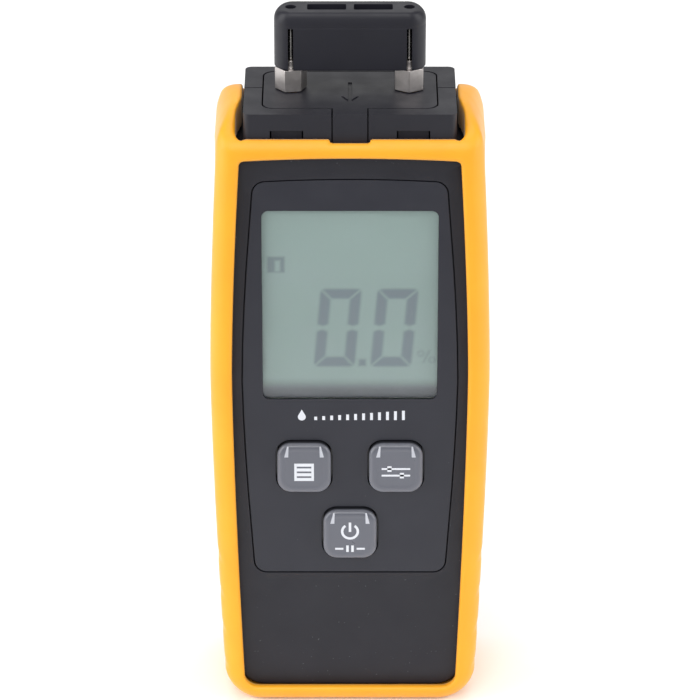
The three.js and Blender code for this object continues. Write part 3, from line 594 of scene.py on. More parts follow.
def build_key(node, body):
    low, high = box_mm(node)
    x, z = (low[0] + high[0]) / 2, (low[2] + high[2]) / 2
    half_x = (high[0] - low[0]) / 2 - KEY_FLANGE
    half_z = (high[2] - low[2]) / 2 - KEY_FLANGE
    flange_y = high[1] - FLANGE_DEPTH

    def ring(y, inset):
        radius = KEY_CORNER - CORNER_LOSS * max(inset, 0)
        outline = rounded_rectangle(x, z, half_x - inset, half_z - inset, radius)
        return [(px, y, pz) for px, pz in outline]

    loops = [ring(high[1], -KEY_FLANGE), ring(flange_y, -KEY_FLANGE), ring(flange_y, 0)]
    steps = 7
    for i in range(steps + 1):
        turn = math.pi / 2 * i / steps
        loops.append(ring(low[1] + roll_depth(turn), KEY_ROLL * (1 - math.cos(turn))))
    loops += [ring(low[1], DISH_EDGE), ring(low[1] + KEY_DISH, DISH_FLOOR)]
    key = smooth(stacked(node + "_moulding", loops), 50)
    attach(key, body)
    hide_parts(node)
    return key, (x, low[1] + KEY_DISH, z)


keys, key_tops = {}, {}
for node, body in KEYS.items():
    keys[node], key_tops[node] = build_key(node, body)
print("keys at", {k: [round(float(v), 2) for v in p] for k, p in key_tops.items()})


# %% [markdown]
# ## White print
# The marks are generic pictograms in a layer of ink 0.03 mm thick: a menu, a pair of sliders,
# the standard power sign with a pause mark, and over the keys a drop with a rising scale.

# %% Ink shapes
INK = 0.03


def bar(x, z, width, height):
    """An upright rectangle about a centre."""
    return [
        (x - width / 2, z - height / 2), (x + width / 2, z - height / 2),
        (x + width / 2, z + height / 2), (x - width / 2, z + height / 2),
    ]


def join_meshes(name, pieces):
    """Several closed pieces as one mesh object."""
    work = bmesh.new()
    for piece in pieces:
        work.from_mesh(piece.data)
        bpy.data.objects.remove(piece)
    mesh = bpy.data.meshes.new(name)
    work.to_mesh(mesh)
    work.free()
    return new_object(name, mesh)


def ink(name, outlines, y):
    """A print of one or more closed outlines on a face at the depth y."""
    return join_meshes(name, [prism_y("ink", o, y - INK, y + INK) for o in outlines])


def power_sign(x, z, outer=1.98, stroke=0.55):
    """The ring with a gap at its top, and the stroke that stands in the gap."""
    opening = math.radians(36)
    turns = [opening + (2 * math.pi - 2 * opening) * i / 40 for i in range(41)]
    inner = outer - stroke
    far = [(x + outer * math.sin(a), z + outer * math.cos(a)) for a in turns]
    near = [(x + inner * math.sin(a), z + inner * math.cos(a)) for a in reversed(turns)]
    return [far + near, bar(x, z + 1.05, stroke, 2.3)]


def drop(x, z, radius, tip):
    """A drop of water with its tip up."""
    points = []
    for i in range(33):
        angle = math.radians(-215 + 250 * i / 32)
        points.append((x + radius * math.cos(angle), z + radius * math.sin(angle)))
    return points + [(x, z + tip)]


# %% Prints on the keys
def on_key(name, outlines, key):
    mark = ink(name, outlines, key_tops[key][1])
    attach(mark, KEYS[key])
    return mark


mode_x, _, mode_z = key_tops["key_mode"]
set_x, _, set_z = key_tops["key_set"]
power_x, _, power_z = key_tops["key_power"]
MARK_DROP = 0.8  # the marks sit a little below the middle
mode_z, set_z = mode_z - MARK_DROP, set_z - MARK_DROP

side_bars = [bar(mode_x + s * 1.85, mode_z, 0.55, 4.2) for s in (-1, 1)]
between = [bar(mode_x, mode_z + row, 3.2, 0.72) for row in (-1.74, -0.58, 0.58, 1.74)]
mode_mark = on_key("mode_mark", side_bars + between, "key_mode")

sliders = [bar(set_x, set_z + row, 6.2, 0.42) for row in (-0.8, 0.8)]
knobs = [bar(set_x - 1.4, set_z + 0.8, 0.9, 1.35), bar(set_x + 1.3, set_z - 0.8, 0.9, 1.35)]
set_mark = on_key("set_mark", sliders + knobs, "key_set")

pause_z = power_z - 3.35
pause = [bar(power_x + s * 0.55, pause_z, 0.55, 1.6) for s in (-1, 1)]
dashes = [bar(power_x + s * 2.35, pause_z, 1.8, 0.45) for s in (-1, 1)]
power_outlines = power_sign(power_x, power_z + 0.9) + pause + dashes
power_mark = on_key("power_mark", power_outlines, "key_power")


# %% [markdown]
# ## Painted highlights in the keys
# Two short pale strips at the upper corners of each key are painted highlights: they stand in
# for the glints that the light makes in the keys' inner corners. They lie in the skin, so that they
# show whatever the light.

# %% Painted highlights
GLINT_FOOT, GLINT_LENGTH = 2.85, 2.5  # above the key's middle
GLINT_MIDDLE, GLINT_LEAN = 3.85, 0.35  # from the key's middle, and how much nearer at the top
GLINT_HALF, GLINT_TAPER = 0.44, 0.28
GLINT_SUNK, GLINT_PROUD = 0.13, 0.02


def key_skin_y(key, across, up):
    """Depth of the key's skin at a place measured from its middle: flat, then roll."""
    low, high = box_mm(key)
    u = abs(across) - ((high[0] - low[0]) / 2 - KEY_FLANGE - KEY_CORNER)
    v = abs(up) - ((high[2] - low[2]) / 2 - KEY_FLANGE - KEY_CORNER)
    inset = KEY_CORNER - (math.hypot(u, v) if min(u, v) > 0 else max(u, v))
    turn = math.acos(min(1.0, max(0.0, 1 - inset / KEY_ROLL)))
    return low[1] + roll_depth(turn)


def build_glint(key, side):
    """A painted highlight: a pale tapered strip that follows the skin from the flat of the key up
    over its roll.
    """
    x, _, z = key_tops[key]
    loops = []
    steps = 8
    for i in range(steps + 1):
        up = GLINT_FOOT + GLINT_LENGTH * i / steps
        middle, half = GLINT_MIDDLE - GLINT_LEAN * i / steps, GLINT_HALF - GLINT_TAPER * i / steps
        skin = key_skin_y(key, middle, up)
        corners = [(-half, GLINT_SUNK), (half, GLINT_SUNK), (half, -GLINT_PROUD), (-half, -GLINT_PROUD)]
        loops.append([(x + side * (middle + px), skin + py, z + up) for px, py in corners])
    return stacked("rib", loops)


def build_glints(key):
    painted_glints = join_meshes(key + "_light_ribs", [build_glint(key, side) for side in (-1, 1)])
    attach(painted_glints, KEYS[key])
    return painted_glints


painted_glints = [build_glints(key) for key in KEYS]
print("ribs:", len(painted_glints))


# %% [markdown]
# ## What repeats
# One small node tree copies a pattern onto a set of points, each with its own size. It makes
# the rising scale, the case screws and the board screws.

# %% Pattern on points
def pattern_tree():
    """Copies a pattern object onto every point of the input, scaled by the attribute "size"."""
    tree = bpy.data.node_groups.new("pattern_on_points", "GeometryNodeTree")
    face = tree.interface
    face.new_socket("Points", in_out="INPUT", socket_type="NodeSocketGeometry")
    face.new_socket("Pattern", in_out="INPUT", socket_type="NodeSocketObject")
    face.new_socket("Material", in_out="INPUT", socket_type="NodeSocketMaterial")
    face.new_socket("Mesh", in_out="OUTPUT", socket_type="NodeSocketGeometry")
    source = tree.nodes.new("NodeGroupInput")
    result = tree.nodes.new("NodeGroupOutput")
    pattern = tree.nodes.new("GeometryNodeObjectInfo")
    size = tree.nodes.new("GeometryNodeInputNamedAttribute")
    size.data_type = "FLOAT_VECTOR"
    size.inputs["Name"].default_value = "size"
    copies = tree.nodes.new("GeometryNodeInstanceOnPoints")
    real = tree.nodes.new("GeometryNodeRealizeInstances")
    finish = tree.nodes.new("GeometryNodeSetMaterial")
    link = tree.links.new
    link(source.outputs["Pattern"], pattern.inputs["Object"])
    link(source.outputs["Points"], copies.inputs["Points"])
    link(pattern.outputs["Geometry"], copies.inputs["Instance"])
    link(size.outputs["Attribute"], copies.inputs["Scale"])
    link(copies.outputs["Instances"], real.inputs["Geometry"])
    link(real.outputs["Geometry"], finish.inputs["Geometry"])
    link(source.outputs["Material"], finish.inputs["Material"])
    link(finish.outputs["Geometry"], result.inputs["Mesh"])
    return tree


PATTERN = pattern_tree()
SOCKET = {i.name: i.identifier for i in PATTERN.interface.items_tree if i.in_out == "INPUT"}


def repeated(name, pattern, places_mm, sizes, material):
    """The pattern at every place, as one plain mesh. The pattern object is used up."""
    mesh = bpy.data.meshes.new(name)
    mesh.from_pydata([tuple(np.array(p) * MM) for p in places_mm], [], [])
    layer = mesh.attributes.new("size", "FLOAT_VECTOR", "POINT")
    layer.data.foreach_set("vector", np.array(sizes, dtype=np.float32).ravel())
    piece = new_object(name, mesh)
    nodes = piece.modifiers.new("pattern", "NODES")
    nodes.node_group = PATTERN
    nodes[SOCKET["Pattern"]] = pattern
    nodes[SOCKET["Material"]] = material
    apply_modifiers(piece)
    bpy.data.objects.remove(pattern)
    return piece


# %% [markdown]
# ## Materials
# Each material is named for the real stuff and how it was made. Grain sizes are in real
# millimetres, read from the object's own coordinates.

# %% Shader helpers
def add(tree, kind, inputs=None, **settings):
    """Adds a node with its settings, and links or sets its inputs."""
    node = tree.nodes.new(kind)
    for name, value in settings.items():
        setattr(node, name, value)
    for name, value in (inputs or {}).items():
        if isinstance(value, bpy.types.NodeSocket):
            tree.links.new(value, node.inputs[name])
        else:
            node.inputs[name].default_value = value
    return node


def blank(name, colour, roughness, metallic=0.0, **sockets):
    """A new material and its shader, with the values that hold all over."""
    material = bpy.data.materials.new(name)
    material.use_nodes = True
    shader = material.node_tree.nodes["Principled BSDF"]
    shader.inputs["Base Color"].default_value = linear(colour)
    shader.inputs["Roughness"].default_value = roughness
    shader.inputs["Metallic"].default_value = metallic
    for socket, value in sockets.items():
        shader.inputs[socket.replace("_", " ")].default_value = value
    return material, material.node_tree, shader


def noise_at(tree, size_mm, detail=2.0):
    """Noise whose features are about this many millimetres across."""
    place = add(tree, "ShaderNodeTexCoord")
    return add(tree, "ShaderNodeTexNoise", {
        "Vector": place.outputs["Object"], "Scale": 1000 / size_mm, "Detail": detail,
    }).outputs["Fac"]


def spread(tree, value, low, high, clear_from=0.3, clear_to=0.7):
    """Stretches a noise value over a range."""
    return add(tree, "ShaderNodeMapRange", {
        "Value": value, "From Min": clear_from, "From Max": clear_to, "To Min": low, "To Max": high,
    }).outputs["Result"]


def grained(name, colour, other, roughness, grain_mm, grain_height_mm, specks=None, **sockets):
    """Moulded plastic or rubber: a fine mould texture, a faint cloudiness in colour and gloss,
    and where specks is given, sparse paler flecks of dust."""
    material, tree, shader = blank(name, colour, roughness, **sockets)
    cloud = noise_at(tree, 14, 3)
    mix = add(tree, "ShaderNodeMix", {
        "Factor": spread(tree, cloud, 0, 1), "A": linear(colour), "B": linear(other),
    }, data_type="RGBA")
    tint = mix.outputs["Result"]
    if specks:
        fleck = spread(tree, noise_at(tree, 0.45, 0), 0, 0.5, 0.85, 0.9)
        tint = add(tree, "ShaderNodeMix", {
            "Factor": fleck, "A": tint, "B": linear(specks),
        }, data_type="RGBA").outputs["Result"]
    tree.links.new(tint, shader.inputs["Base Color"])
    gloss = spread(tree, noise_at(tree, 5, 4), roughness - 0.05, roughness + 0.07)
    tree.links.new(gloss, shader.inputs["Roughness"])
    bump = add(tree, "ShaderNodeBump", {
        "Height": noise_at(tree, grain_mm), "Distance": grain_height_mm * MM, "Strength": 1.0,
    })
    tree.links.new(bump.outputs["Normal"], shader.inputs["Normal"])
    return material


# %% Rubber and plastics
# Thermoplastic elastomer, moulded: saturated orange, soft highlights, a fine sparked skin.
boot_rubber = grained(
    "orange_elastomer_moulded", "eaa216", "e69c14", 0.45, 0.3, 0.012,
    Sheen_Weight=0.2, Sheen_Roughness=0.35,
)
# ABS with a spark-eroded texture: a dark, slightly blue charcoal that scatters light.
case_plastic = grained(
    "charcoal_abs_textured", "1c1c23", "202027", 0.46, 0.22, 0.010, "5c5c62",
    Specular_IOR_Level=0.36,
)
# The plate is the same ABS with a finer, slightly glossier texture.
plate_plastic = grained(
    "charcoal_abs_satin", "1e1f28", "22232c", 0.38, 0.16, 0.005, "5c5c62",
    Specular_IOR_Level=0.45,
)
# The cap is plain black polypropylene: waxy, with soft broad highlights.
cap_plastic = grained(
    "black_polypropylene", "1a1a21", "1e1e26", 0.42, 0.9, 0.006, Specular_IOR_Level=0.32,
)
# What is inside: moulded ABS, cast rubber, epoxy packages and extruded PVC insulation.
white_plastic = grained("white_abs_moulded", "d8d6cf", "dedbd2", 0.5, 0.3, 0.006)
silicone = grained("grey_silicone_rubber", "3a3a3e", "434347", 0.7, 0.3, 0.008)
chip_epoxy = grained("black_epoxy_moulded", "17171a", "1d1d20", 0.6, 0.08, 0.006)
lead_red = grained("red_pvc_extruded", "b3221c", "a81d18", 0.4, 0.5, 0.006)
lead_black = grained("black_pvc_extruded", "1a1a1c", "202023", 0.4, 0.5, 0.006)
# Screen-printed ink: dense white, dry, with a slightly rough film.
white_ink = grained("white_screen_ink", "d2d4da", "cbced5", 0.6, 0.12, 0.004)
# Pale painted highlights for the glints in the keys' upper corners, set in the tinted skin.
painted_glint_plastic = grained("pale_painted_highlight", "a9abb3", "b9bbc3", 0.35, 0.25, 0.004)


# %% Smoky keys
def smoky_key():
    """Tinted translucent polycarbonate: a gloss skin, with a painted sheen that pales the colour
    where the surface turns away from the view, as on its rolled edge, and painted shade, dark where
    it sinks into the plate."""
    material, tree, shader = blank(
        "smoky_polycarbonate", "54565f", 0.24, Coat_Weight=0.3, Coat_Roughness=0.16,
    )
    place = add(tree, "ShaderNodeTexCoord").outputs["Object"]
    depth = add(tree, "ShaderNodeSeparateXYZ", {"Vector": place}).outputs["Y"]
    # painted shade: the key is painted dark where it sinks into the plate, standing in for the
    # shade in the gap round it
    painted_gap_shade = add(tree, "ShaderNodeMapRange", {
        "Value": depth, "To Min": 0.0, "To Max": 1.0,
        "From Min": (KEY_FRONT_Y + 0.45) * MM, "From Max": (KEY_FRONT_Y + 1.3) * MM,
    }, interpolation_type="SMOOTHSTEP").outputs["Result"]
    # painted sheen: the colour pales where the surface turns away from the view, standing in for
    # grazing reflection on the rolled edge
    painted_edge_sheen = add(tree, "ShaderNodeLayerWeight", {"Blend": 0.35}).outputs["Facing"]
    mix = add(tree, "ShaderNodeMix", {
        "Factor": painted_edge_sheen, "A": linear("50525b"), "B": linear("90929c"),
    }, data_type="RGBA")
    mix = add(tree, "ShaderNodeMix", {
        "Factor": painted_gap_shade, "A": mix.outputs["Result"], "B": linear("26272c"),
    }, data_type="RGBA")
    tree.links.new(mix.outputs["Result"], shader.inputs["Base Color"])
    gloss = spread(tree, noise_at(tree, 2.5, 3), 0.27, 0.39)
    tree.links.new(gloss, shader.inputs["Roughness"])
    return material


key_plastic = smoky_key()


# %% Metals
def drawn_metal(name, colour, roughness, streak_mm, height_mm):
    """Turned or drawn metal: fine streaks round the part and slight staining."""
    material, tree, shader = blank(name, colour, roughness, 1.0)
    place = add(tree, "ShaderNodeTexCoord")
    stretch = add(tree, "ShaderNodeMapping", {
        "Vector": place.outputs["Object"], "Scale": (1, 1, 6),
    })
    streaks = add(tree, "ShaderNodeTexNoise", {
        "Vector": stretch.outputs["Vector"], "Scale": 1000 / streak_mm, "Detail": 3.0,
    }).outputs["Fac"]
    gloss = spread(tree, streaks, roughness - 0.08, roughness + 0.12)
    tree.links.new(gloss, shader.inputs["Roughness"])
    bump = add(tree, "ShaderNodeBump", {"Height": streaks, "Distance": height_mm * MM})
    tree.links.new(bump.outputs["Normal"], shader.inputs["Normal"])
    stain = add(tree, "ShaderNodeMix", {
        "Factor": spread(tree, noise_at(tree, 3, 3), 0, 0.35), "A": linear(colour),
        "B": linear("6f6a66"),
    }, data_type="RGBA")
    tree.links.new(stain.outputs["Result"], shader.inputs["Base Color"])
    return material


# Ferrules and sockets are plated or bare turned brass, the pins ground steel, the screws zinc
# plated and blackened, and the battery's jacket is lacquered sheet steel.
nickel = drawn_metal("satin_nickel_plate_turned", "c2bdbb", 0.36, 0.8, 0.006)
pin_steel = drawn_metal("stainless_steel_ground", "c9c7c4", 0.22, 0.5, 0.003)
screw_steel = drawn_metal("black_zinc_plate", "56565a", 0.38, 0.6, 0.004)
brass = drawn_metal("brass_turned", "c9a257", 0.28, 0.6, 0.004)
battery_jacket = grained("lacquered_steel_jacket", "33373f", "2d3138", 0.3, 1.2, 0.004)


# %% Circuit board
def solder_mask():
    """Green solder mask over copper tracks, which show as a slightly paler relief."""
    material, tree, shader = blank("green_solder_mask", "1d5a34", 0.3)
    place = add(tree, "ShaderNodeTexCoord")
    tracks = add(tree, "ShaderNodeTexBrick", {
        "Vector": place.outputs["Object"], "Scale": 1.0, "Mortar Size": 0.00025,
        "Brick Width": 0.006, "Row Height": 0.0016,
    }).outputs["Fac"]
    mix = add(tree, "ShaderNodeMix", {
        "Factor": tracks, "A": linear("1b5430"), "B": linear("2f7a48"),
    }, data_type="RGBA")
    tree.links.new(mix.outputs["Result"], shader.inputs["Base Color"])
    return material


board_laminate = solder_mask()


# %% Window lens
def lens_plastic():
    """A clear acrylic lens: hardly tinted, polished, with a faint haze of handling."""
    material, tree, shader = blank(
        "clear_acrylic_polished", "f4f8f6", 0.05, IOR=1.49, Transmission_Weight=1.0,
    )
    haze = spread(tree, noise_at(tree, 9, 4), 0.03, 0.12)
    tree.links.new(haze, shader.inputs["Roughness"])
    return material


window_plastic = lens_plastic()


# %% [markdown]
# ## The display
# The glass cell reflects a grey-green light. Its figures are slanted seven-segment zeros with
# soft edges. They are worked out at every point of a fine sheet, as a darkness from 0 to 1,
# and the shader turns that darkness into colour.

# %% Display figures
glass_low, glass_high = box_mm("display_glass")
DIGIT_HALF_WIDTH, DIGIT_HALF_HEIGHT, DIGIT_CORNER = 4.4, 9.2, 1.3
DIGITS_X, DIGIT_Z = (-2.65, 9.5), 90.7
STROKE, SEGMENT_GAP, SLANT = 2.35, 0.12, 0.085
POINT = (2.65, 82.45, 0.75, 0.8)  # middle x and z, half width, half height
BADGE, BADGE_HOLE = (-15.75, 105.55, 1.85, 1.85), (-15.45, 105.2, 0.55, 1.25)
PERCENT_X, PERCENT_Z, PERCENT_HALF = 16.4, 83.9, 1.5
PERCENT_RINGS = ((15.2, 84.6), (17.6, 83.1))
RING_RADIUS, RING_HALF_STROKE, SLASH_LEAN, SLASH_HALF = 0.6, 0.22, 0.45, 0.28


def digit_zero(x, z, middle_x):
    """Distance to a slanted zero: a ring cut into six segments by narrow gaps."""
    u = np.abs(x - middle_x - (z - DIGIT_Z) * SLANT)
    w = np.abs(z - DIGIT_Z)
    across = u - (DIGIT_HALF_WIDTH - DIGIT_CORNER)
    up = w - (DIGIT_HALF_HEIGHT - DIGIT_CORNER)
    outer = np.hypot(np.maximum(across, 0), np.maximum(up, 0))
    outer = outer + np.minimum(np.maximum(across, up), 0)
    inner = np.maximum(u - (DIGIT_HALF_WIDTH - STROKE), w - (DIGIT_HALF_HEIGHT - STROKE))
    mitre = SEGMENT_GAP - np.abs((u - DIGIT_HALF_WIDTH) - (w - DIGIT_HALF_HEIGHT)) * 0.7
    waist = 0.35 + 0.5 * np.abs(u - (DIGIT_HALF_WIDTH - STROKE / 2)) - w
    return np.maximum.reduce([outer - DIGIT_CORNER, -inner, mitre, waist])


def rectangle(x, z, middle_x, middle_z, half_x, half_z):
    """Distance to an upright rectangle."""
    return np.maximum(np.abs(x - middle_x) - half_x, np.abs(z - middle_z) - half_z)


def darkness(distance, blur):
    """1 well inside a figure and 0 well outside, with a soft edge as wide as the blur."""
    t = np.clip(0.5 - distance / blur, 0, 1)
    return t * t * (3 - 2 * t)


def figures(x, z):
    """How dark the cell is at each point, from 0 to 1."""
    main = [digit_zero(x, z, middle_x) for middle_x in DIGITS_X] + [rectangle(x, z, *POINT)]
    badge = np.maximum(rectangle(x, z, *BADGE), -rectangle(x, z, *BADGE_HOLE))
    slash = np.abs((x - PERCENT_X) - (z - PERCENT_Z) * SLASH_LEAN) - SLASH_HALF
    slash = np.maximum(slash, np.abs(z - PERCENT_Z) - PERCENT_HALF)
    to_rings = [np.hypot(x - cx, z - cz) - RING_RADIUS for cx, cz in PERCENT_RINGS]
    rings = [np.abs(distance) - RING_HALF_STROKE for distance in to_rings]
    percent = np.minimum.reduce([slash] + rings)
    return np.maximum.reduce([
        darkness(np.minimum.reduce(main), 0.95),
        0.85 * darkness(badge, 0.7),
        0.5 * darkness(percent, 0.7),
    ])


# %% Display sheet
def build_display():
    """The glass cell: a fine sheet in front, closed by a plain box behind."""
    step = 0.3
    (x0, y0, z0), (x1, y1, z1) = glass_low, glass_high
    xs = np.linspace(x0, x1, int((x1 - x0) / step) + 1)
    zs = np.linspace(z0, z1, int((z1 - z0) / step) + 1)
    grid = np.arange(len(zs) * len(xs)).reshape(len(zs), len(xs))
    front = [(x, y0, z) for z in zs for x in xs]
    corners = grid[:-1, :-1], grid[:-1, 1:], grid[1:, 1:], grid[1:, :-1]
    faces = np.stack(corners, axis=-1).reshape(-1, 4).tolist()
    low_left, low_right, top_left, top_right = range(len(front), len(front) + 4)
    back = [(x, y1, z) for z in (z0, z1) for x in (x0, x1)]
    faces.append([low_left, top_left, top_right, low_right])
    faces.append([*grid[0, ::-1].tolist(), low_left, low_right])
    faces.append([*grid[-1].tolist(), top_right, top_left])
    faces.append([*grid[:, 0].tolist(), top_left, low_left])
    faces.append([*grid[::-1, -1].tolist(), low_right, top_right])
    cell = mesh_from("liquid_crystal_cell", front + back, faces)
    points = np.array([v.co for v in cell.data.vertices]) * 1000
    x, y, z = points.T
    dark = np.where(y < y0 + 0.1, figures(x, z), 0.0)
    layer = cell.data.attributes.new("figures", "FLOAT", "POINT")
    layer.data.foreach_set("value", dark.astype(np.float32))
    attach(cell, "meter")
    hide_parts("display_glass")
    return cell


def crystal_cell():
    """A reflective liquid-crystal cell: grey-green, with a painted violet-grey shadow along its
    lower edge, where the lens's frame shades the reflector, painted light that makes it a little
    paler towards its top, and with darker figures."""
    material, tree, shader = blank("liquid_crystal_glass", "95a8a3", 0.32)
    place = add(tree, "ShaderNodeTexCoord").outputs["Object"]
    height = add(tree, "ShaderNodeSeparateXYZ", {"Vector": place}).outputs["Z"]
    low = (glass_low[2] + 0.5) * MM
    shade = add(tree, "ShaderNodeMapRange", {
        "Value": height, "From Min": low + 0.8 * MM, "From Max": low + 4.6 * MM,
        "To Min": 0.0, "To Max": 1.0,
    }, interpolation_type="SMOOTHSTEP").outputs["Result"]
    ground = add(tree, "ShaderNodeMix", {
        "Factor": spread(tree, noise_at(tree, 11, 2), 0, 1), "A": linear("acc1be"),
        "B": linear("b0c2c2"),
    }, data_type="RGBA").outputs["Result"]
    # painted light: the cell is painted paler towards its top, standing in for light from above
    painted_top_light = add(tree, "ShaderNodeMapRange", {
        "Value": height, "From Min": low + 15 * MM, "From Max": glass_high[2] * MM,
        "To Min": 0.0, "To Max": 1.0,
    }, interpolation_type="SMOOTHSTEP").outputs["Result"]
    ground = add(tree, "ShaderNodeMix", {
        "Factor": painted_top_light, "A": ground, "B": linear("b9cdcb"),
    }, data_type="RGBA").outputs["Result"]
    banded = add(tree, "ShaderNodeMix", {
        "Factor": shade, "A": linear("71727d"), "B": ground,
    }, data_type="RGBA").outputs["Result"]
    figure = add(tree, "ShaderNodeAttribute", attribute_name="figures").outputs["Fac"]
    full = add(tree, "ShaderNodeMix", {
        "Factor": figure, "A": banded, "B": linear("8c98a3"),
    }, data_type="RGBA").outputs["Result"]
    tree.links.new(full, shader.inputs["Base Color"])
    return material


display = build_display()
display_material = crystal_cell()
display.data.materials.append(display_material)
print("display:", len(display.data.polygons), "faces")


# %% [markdown]
# ## The head
# The electrode holder is a lid let into the head, with an arrow sunk into it. Two pins stand
# in its ferrules, and the cap with its two slots pushes over them.

# %% Electrode holder with its arrow
def build_holder():
    holder = copy_of("electrode_holder", "electrode_holder_moulding")
    depth, line, shaft = 0.3, 0.55, 0.85
    tip_y, tail_y = -6.5, 4.5
    outlines = [bar(0, (tip_y + 0.4 + tail_y) / 2, shaft, tail_y - tip_y - 0.4)]
    for side in (-1, 1):
        tip, back = Vector((0, tip_y)), Vector((side * 1.7, tip_y + 3.1))
        across = (back - tip).orthogonal().normalized() * line / 2
        barb = (tip - across, tip + across, back + across, back - across)
        outlines.append([tuple(point) for point in barb])
    for outline in outlines:
        boolean(holder, [prism_z("arrow", outline, HEAD_Z - depth, HEAD_Z + 1)])
    soften(holder, 0.13)
    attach(holder, "meter")
    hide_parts("electrode_holder")
    return holder


holder = build_holder()


# %% Pins
def build_pin(side):
    """A ground steel pin with a long tapered point."""
    low, high = box_mm(f"pin_{side}")
    x, y = (low[0] + high[0]) / 2, (low[1] + high[1]) / 2
    radius, taper = (high[0] - low[0]) / 2, 4.0
    shoulder_z = high[2] - taper
    profile = [(low[2], radius * 0.8), (low[2] + 0.2, radius), (shoulder_z, radius)]
    for t in (0.05, 0.3, 0.65, 0.95):
        profile.append((high[2] - taper * (1 - t), radius * (1 - 0.92 * t)))
    profile.append((high[2], radius * 0.05))
    loops = [[(px, py, z) for px, py in disc(x, y, r)] for z, r in profile]
    pin = smooth(stacked(f"pin_{side}_ground", loops))
    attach(pin, "meter")
    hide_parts(f"pin_{side}")
    return pin


pins = [build_pin(side) for side in ("left", "right")]


# %% Cap
CAP_CREASE_Z = cap_high[2] - 3.3  # the parting line of its mould
CAP_CORNER, CAP_END_ROLL, CAP_FACE_ROLL = 3.7, 2.5, 0.8
PIN_X, BORE_RADIUS = 12.5, 1.15
SLOT_HALF, SLOT_TOP_DROP = 0.55, 3.5
POCKET_X, POCKET_HALF_X, POCKET_HALF_Y, POCKET_DEPTH = 4.9, 4.1, 1.6, 9.0
FOOT_BEVEL = 0.25
CREASE_HALF, CREASE_DEPTH = 0.2, 0.06


def build_cap():
    """A block with deeply rounded ends and top corners, cut for the pins and the pockets."""
    half_x, half_y = (cap_high[0] - cap_low[0]) / 2, (cap_high[1] - cap_low[1]) / 2
    y = (cap_low[1] + cap_high[1]) / 2
    loops = []

    def ring(z, inset_x, inset_y):
        corner = CAP_CORNER - max(inset_x, inset_y) * 0.9
        outline = rounded_rectangle(0, y, half_x - inset_x, half_y - inset_y, corner, 10)
        loops.append([(px, py, z) for px, py in outline])

    ring(cap_low[2], FOOT_BEVEL, FOOT_BEVEL)
    ring(cap_low[2] + FOOT_BEVEL, 0, 0)
    for z, inset in ((-CREASE_HALF, 0.0), (0.0, CREASE_DEPTH), (CREASE_HALF, 0.0)):
        ring(CAP_CREASE_Z + z, inset, inset)
    steps = 8
    for i in range(steps + 1):
        turn = math.pi / 2 * i / steps
        drawn_in = 1 - math.cos(turn)
        z = cap_high[2] - CAP_END_ROLL * (1 - math.sin(turn))
        ring(z, CAP_END_ROLL * drawn_in, CAP_FACE_ROLL * drawn_in)
    cap = stacked("pin_cap_moulding", loops)
    below, above = cap_low[2] - 1, cap_high[2] + 1
    cutters = []
    for x in (-PIN_X, PIN_X):
        cutters.append(prism_z("bore", disc(x, y, BORE_RADIUS), below, above))
        slot_top = cap_high[2] - SLOT_TOP_DROP
        cutters.append(block((x - SLOT_HALF, y - 8, below), (x + SLOT_HALF, y, slot_top)))
    for middle in (-POCKET_X, POCKET_X):
        outline = rounded_rectangle(middle, y, POCKET_HALF_X, POCKET_HALF_Y, 0.35, 3)
        cutters.append(prism_z("pocket", outline, cap_high[2] - POCKET_DEPTH, above))
    boolean(cap, cutters)
    soften(cap, 0.16, angle=40)
    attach(cap, "cap")
    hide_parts("pin_cap")
    return cap


cap = build_cap()
print("cap:", len(cap.data.polygons), "faces")


# %% Scale over the keys
def build_scale():
    """A drop and twelve ticks that grow, printed between the display and the keys."""
    count, first_x, step, low_z = 12, -7.4, 1.72, 69.5
    width, first_height, growth = 0.62, 0.8, 0.13
    tick = prism_y("tick", bar(0, 0.5, 1, 1), -INK, INK)
    places = [(first_x + step * i, FACE_Y, low_z) for i in range(count)]
    sizes = [(width, 1.0, first_height + growth * i) for i in range(count)]
    ticks = repeated("scale_ticks", tick, places, sizes, white_ink)
    droplet = ink("scale_drop", [drop(-10.4, low_z + 0.75, 0.85, 1.75)], FACE_Y)
    return [ticks, droplet]


scale = build_scale()
for mark in scale:
    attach(mark, "meter")


# %% Screws
def screw(head_radius, head_height, shank_radius, length):
    """A pan-head screw along Y with a cross recess, its seat at the origin."""
    profile = [
        (-length, shank_radius * 0.5), (-length + 0.6, shank_radius), (0, shank_radius),
        (0, head_radius), (head_height * 0.45, head_radius),
        (head_height * 0.8, head_radius * 0.88), (head_height, head_radius * 0.6),
    ]
    loops = [[(x, y, z) for x, z in disc(0, 0, r, 28)] for y, r in profile]
    body = stacked("screw", loops)
    arm, reach = head_radius * 0.13, head_radius * 0.55
    for half_x, half_z in ((reach, arm), (arm, reach)):
        slot = rounded_rectangle(0, 0, half_x, half_z, arm * 0.6, 2)
        boolean(body, [prism_y("slot", slot, head_height * 0.35, head_height + 1)])
    return smooth(body, 35)


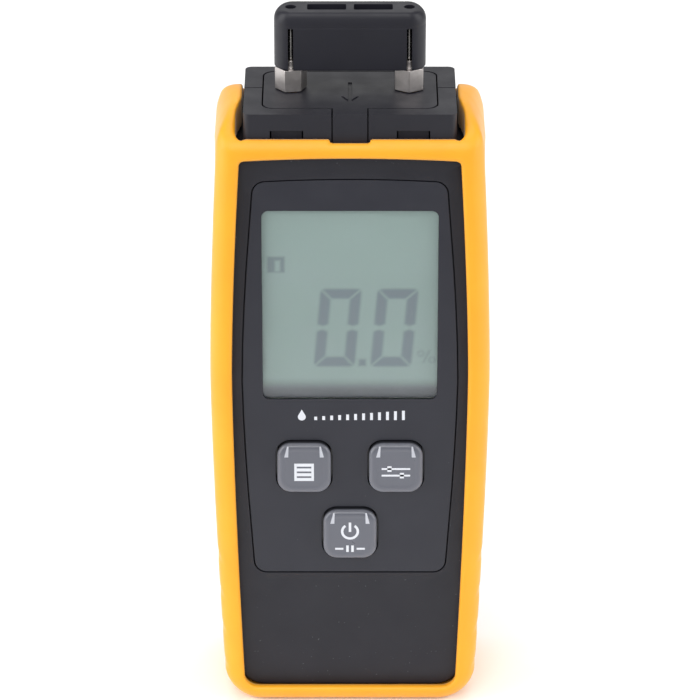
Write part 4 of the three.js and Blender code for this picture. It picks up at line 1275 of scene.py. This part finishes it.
def screws(name, nodes, head_radius, head_height, shank_radius):
    """One mesh of all the screws of one size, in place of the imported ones."""
    boxes = [box_mm(node) for node in nodes]
    length = boxes[0][1][1] - boxes[0][0][1] - head_height
    places = [((a[0] + b[0]) / 2, b[1] - head_height, (a[2] + b[2]) / 2) for a, b in boxes]
    pattern = screw(head_radius, head_height, shank_radius, length)
    piece = repeated(name, pattern, places, [(1, 1, 1)] * len(places), screw_steel)
    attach(piece, "meter")
    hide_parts(*nodes)
    return piece


case_screws = screws("case_screws", [f"case_screw_{i}" for i in range(1, 5)], 2.3, 1.6, 1.1)
board_screws = screws("board_screws", [f"board_screw_{i}" for i in range(1, 5)], 1.6, 1.0, 0.8)
print("screws:", [len(piece.data.polygons) for piece in (case_screws, board_screws)], "faces")


# %% [markdown]
# ## Finishes
# Every new piece gets its material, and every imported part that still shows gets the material
# of its own slot.

# %% Assign the materials
BY_SLOT = {
    "boot_rubber": boot_rubber, "case_plastic": case_plastic, "plate_plastic": plate_plastic,
    "cap_plastic": cap_plastic, "key_plastic": key_plastic, "window_plastic": window_plastic,
    "display_glass": display_material, "white_plastic": white_plastic, "silicone": silicone,
    "board_laminate": board_laminate, "chip_epoxy": chip_epoxy, "nickel": nickel,
    "pin_steel": pin_steel, "screw_steel": screw_steel, "brass": brass,
    "battery_jacket": battery_jacket, "lead_red": lead_red, "lead_black": lead_black,
    "white_print": white_ink, "painted_glints": painted_glint_plastic,
}
NEW_PIECES = {
    "boot_rubber": [boot],
    "case_plastic": [front_case, rear_case, door, holder],
    "plate_plastic": [face_plate],
    "key_plastic": list(keys.values()),
    "cap_plastic": [cap],
    "nickel": ferrules,
    "pin_steel": pins,
    "white_print": [mode_mark, set_mark, power_mark] + scale,
    # the pale strips in the keys are painted highlights
    "painted_glints": painted_glints,
}
for slot, pieces in NEW_PIECES.items():
    for piece in pieces:
        piece.data.materials.clear()
        piece.data.materials.append(BY_SLOT[slot])
for part in frame["record"]["subparts"]:
    packed = frame["nodes"][part["node"]]
    packed.data.materials.clear()
    packed.data.materials.append(BY_SLOT[part["material_slot"]])
print("materials:", len(bpy.data.materials))
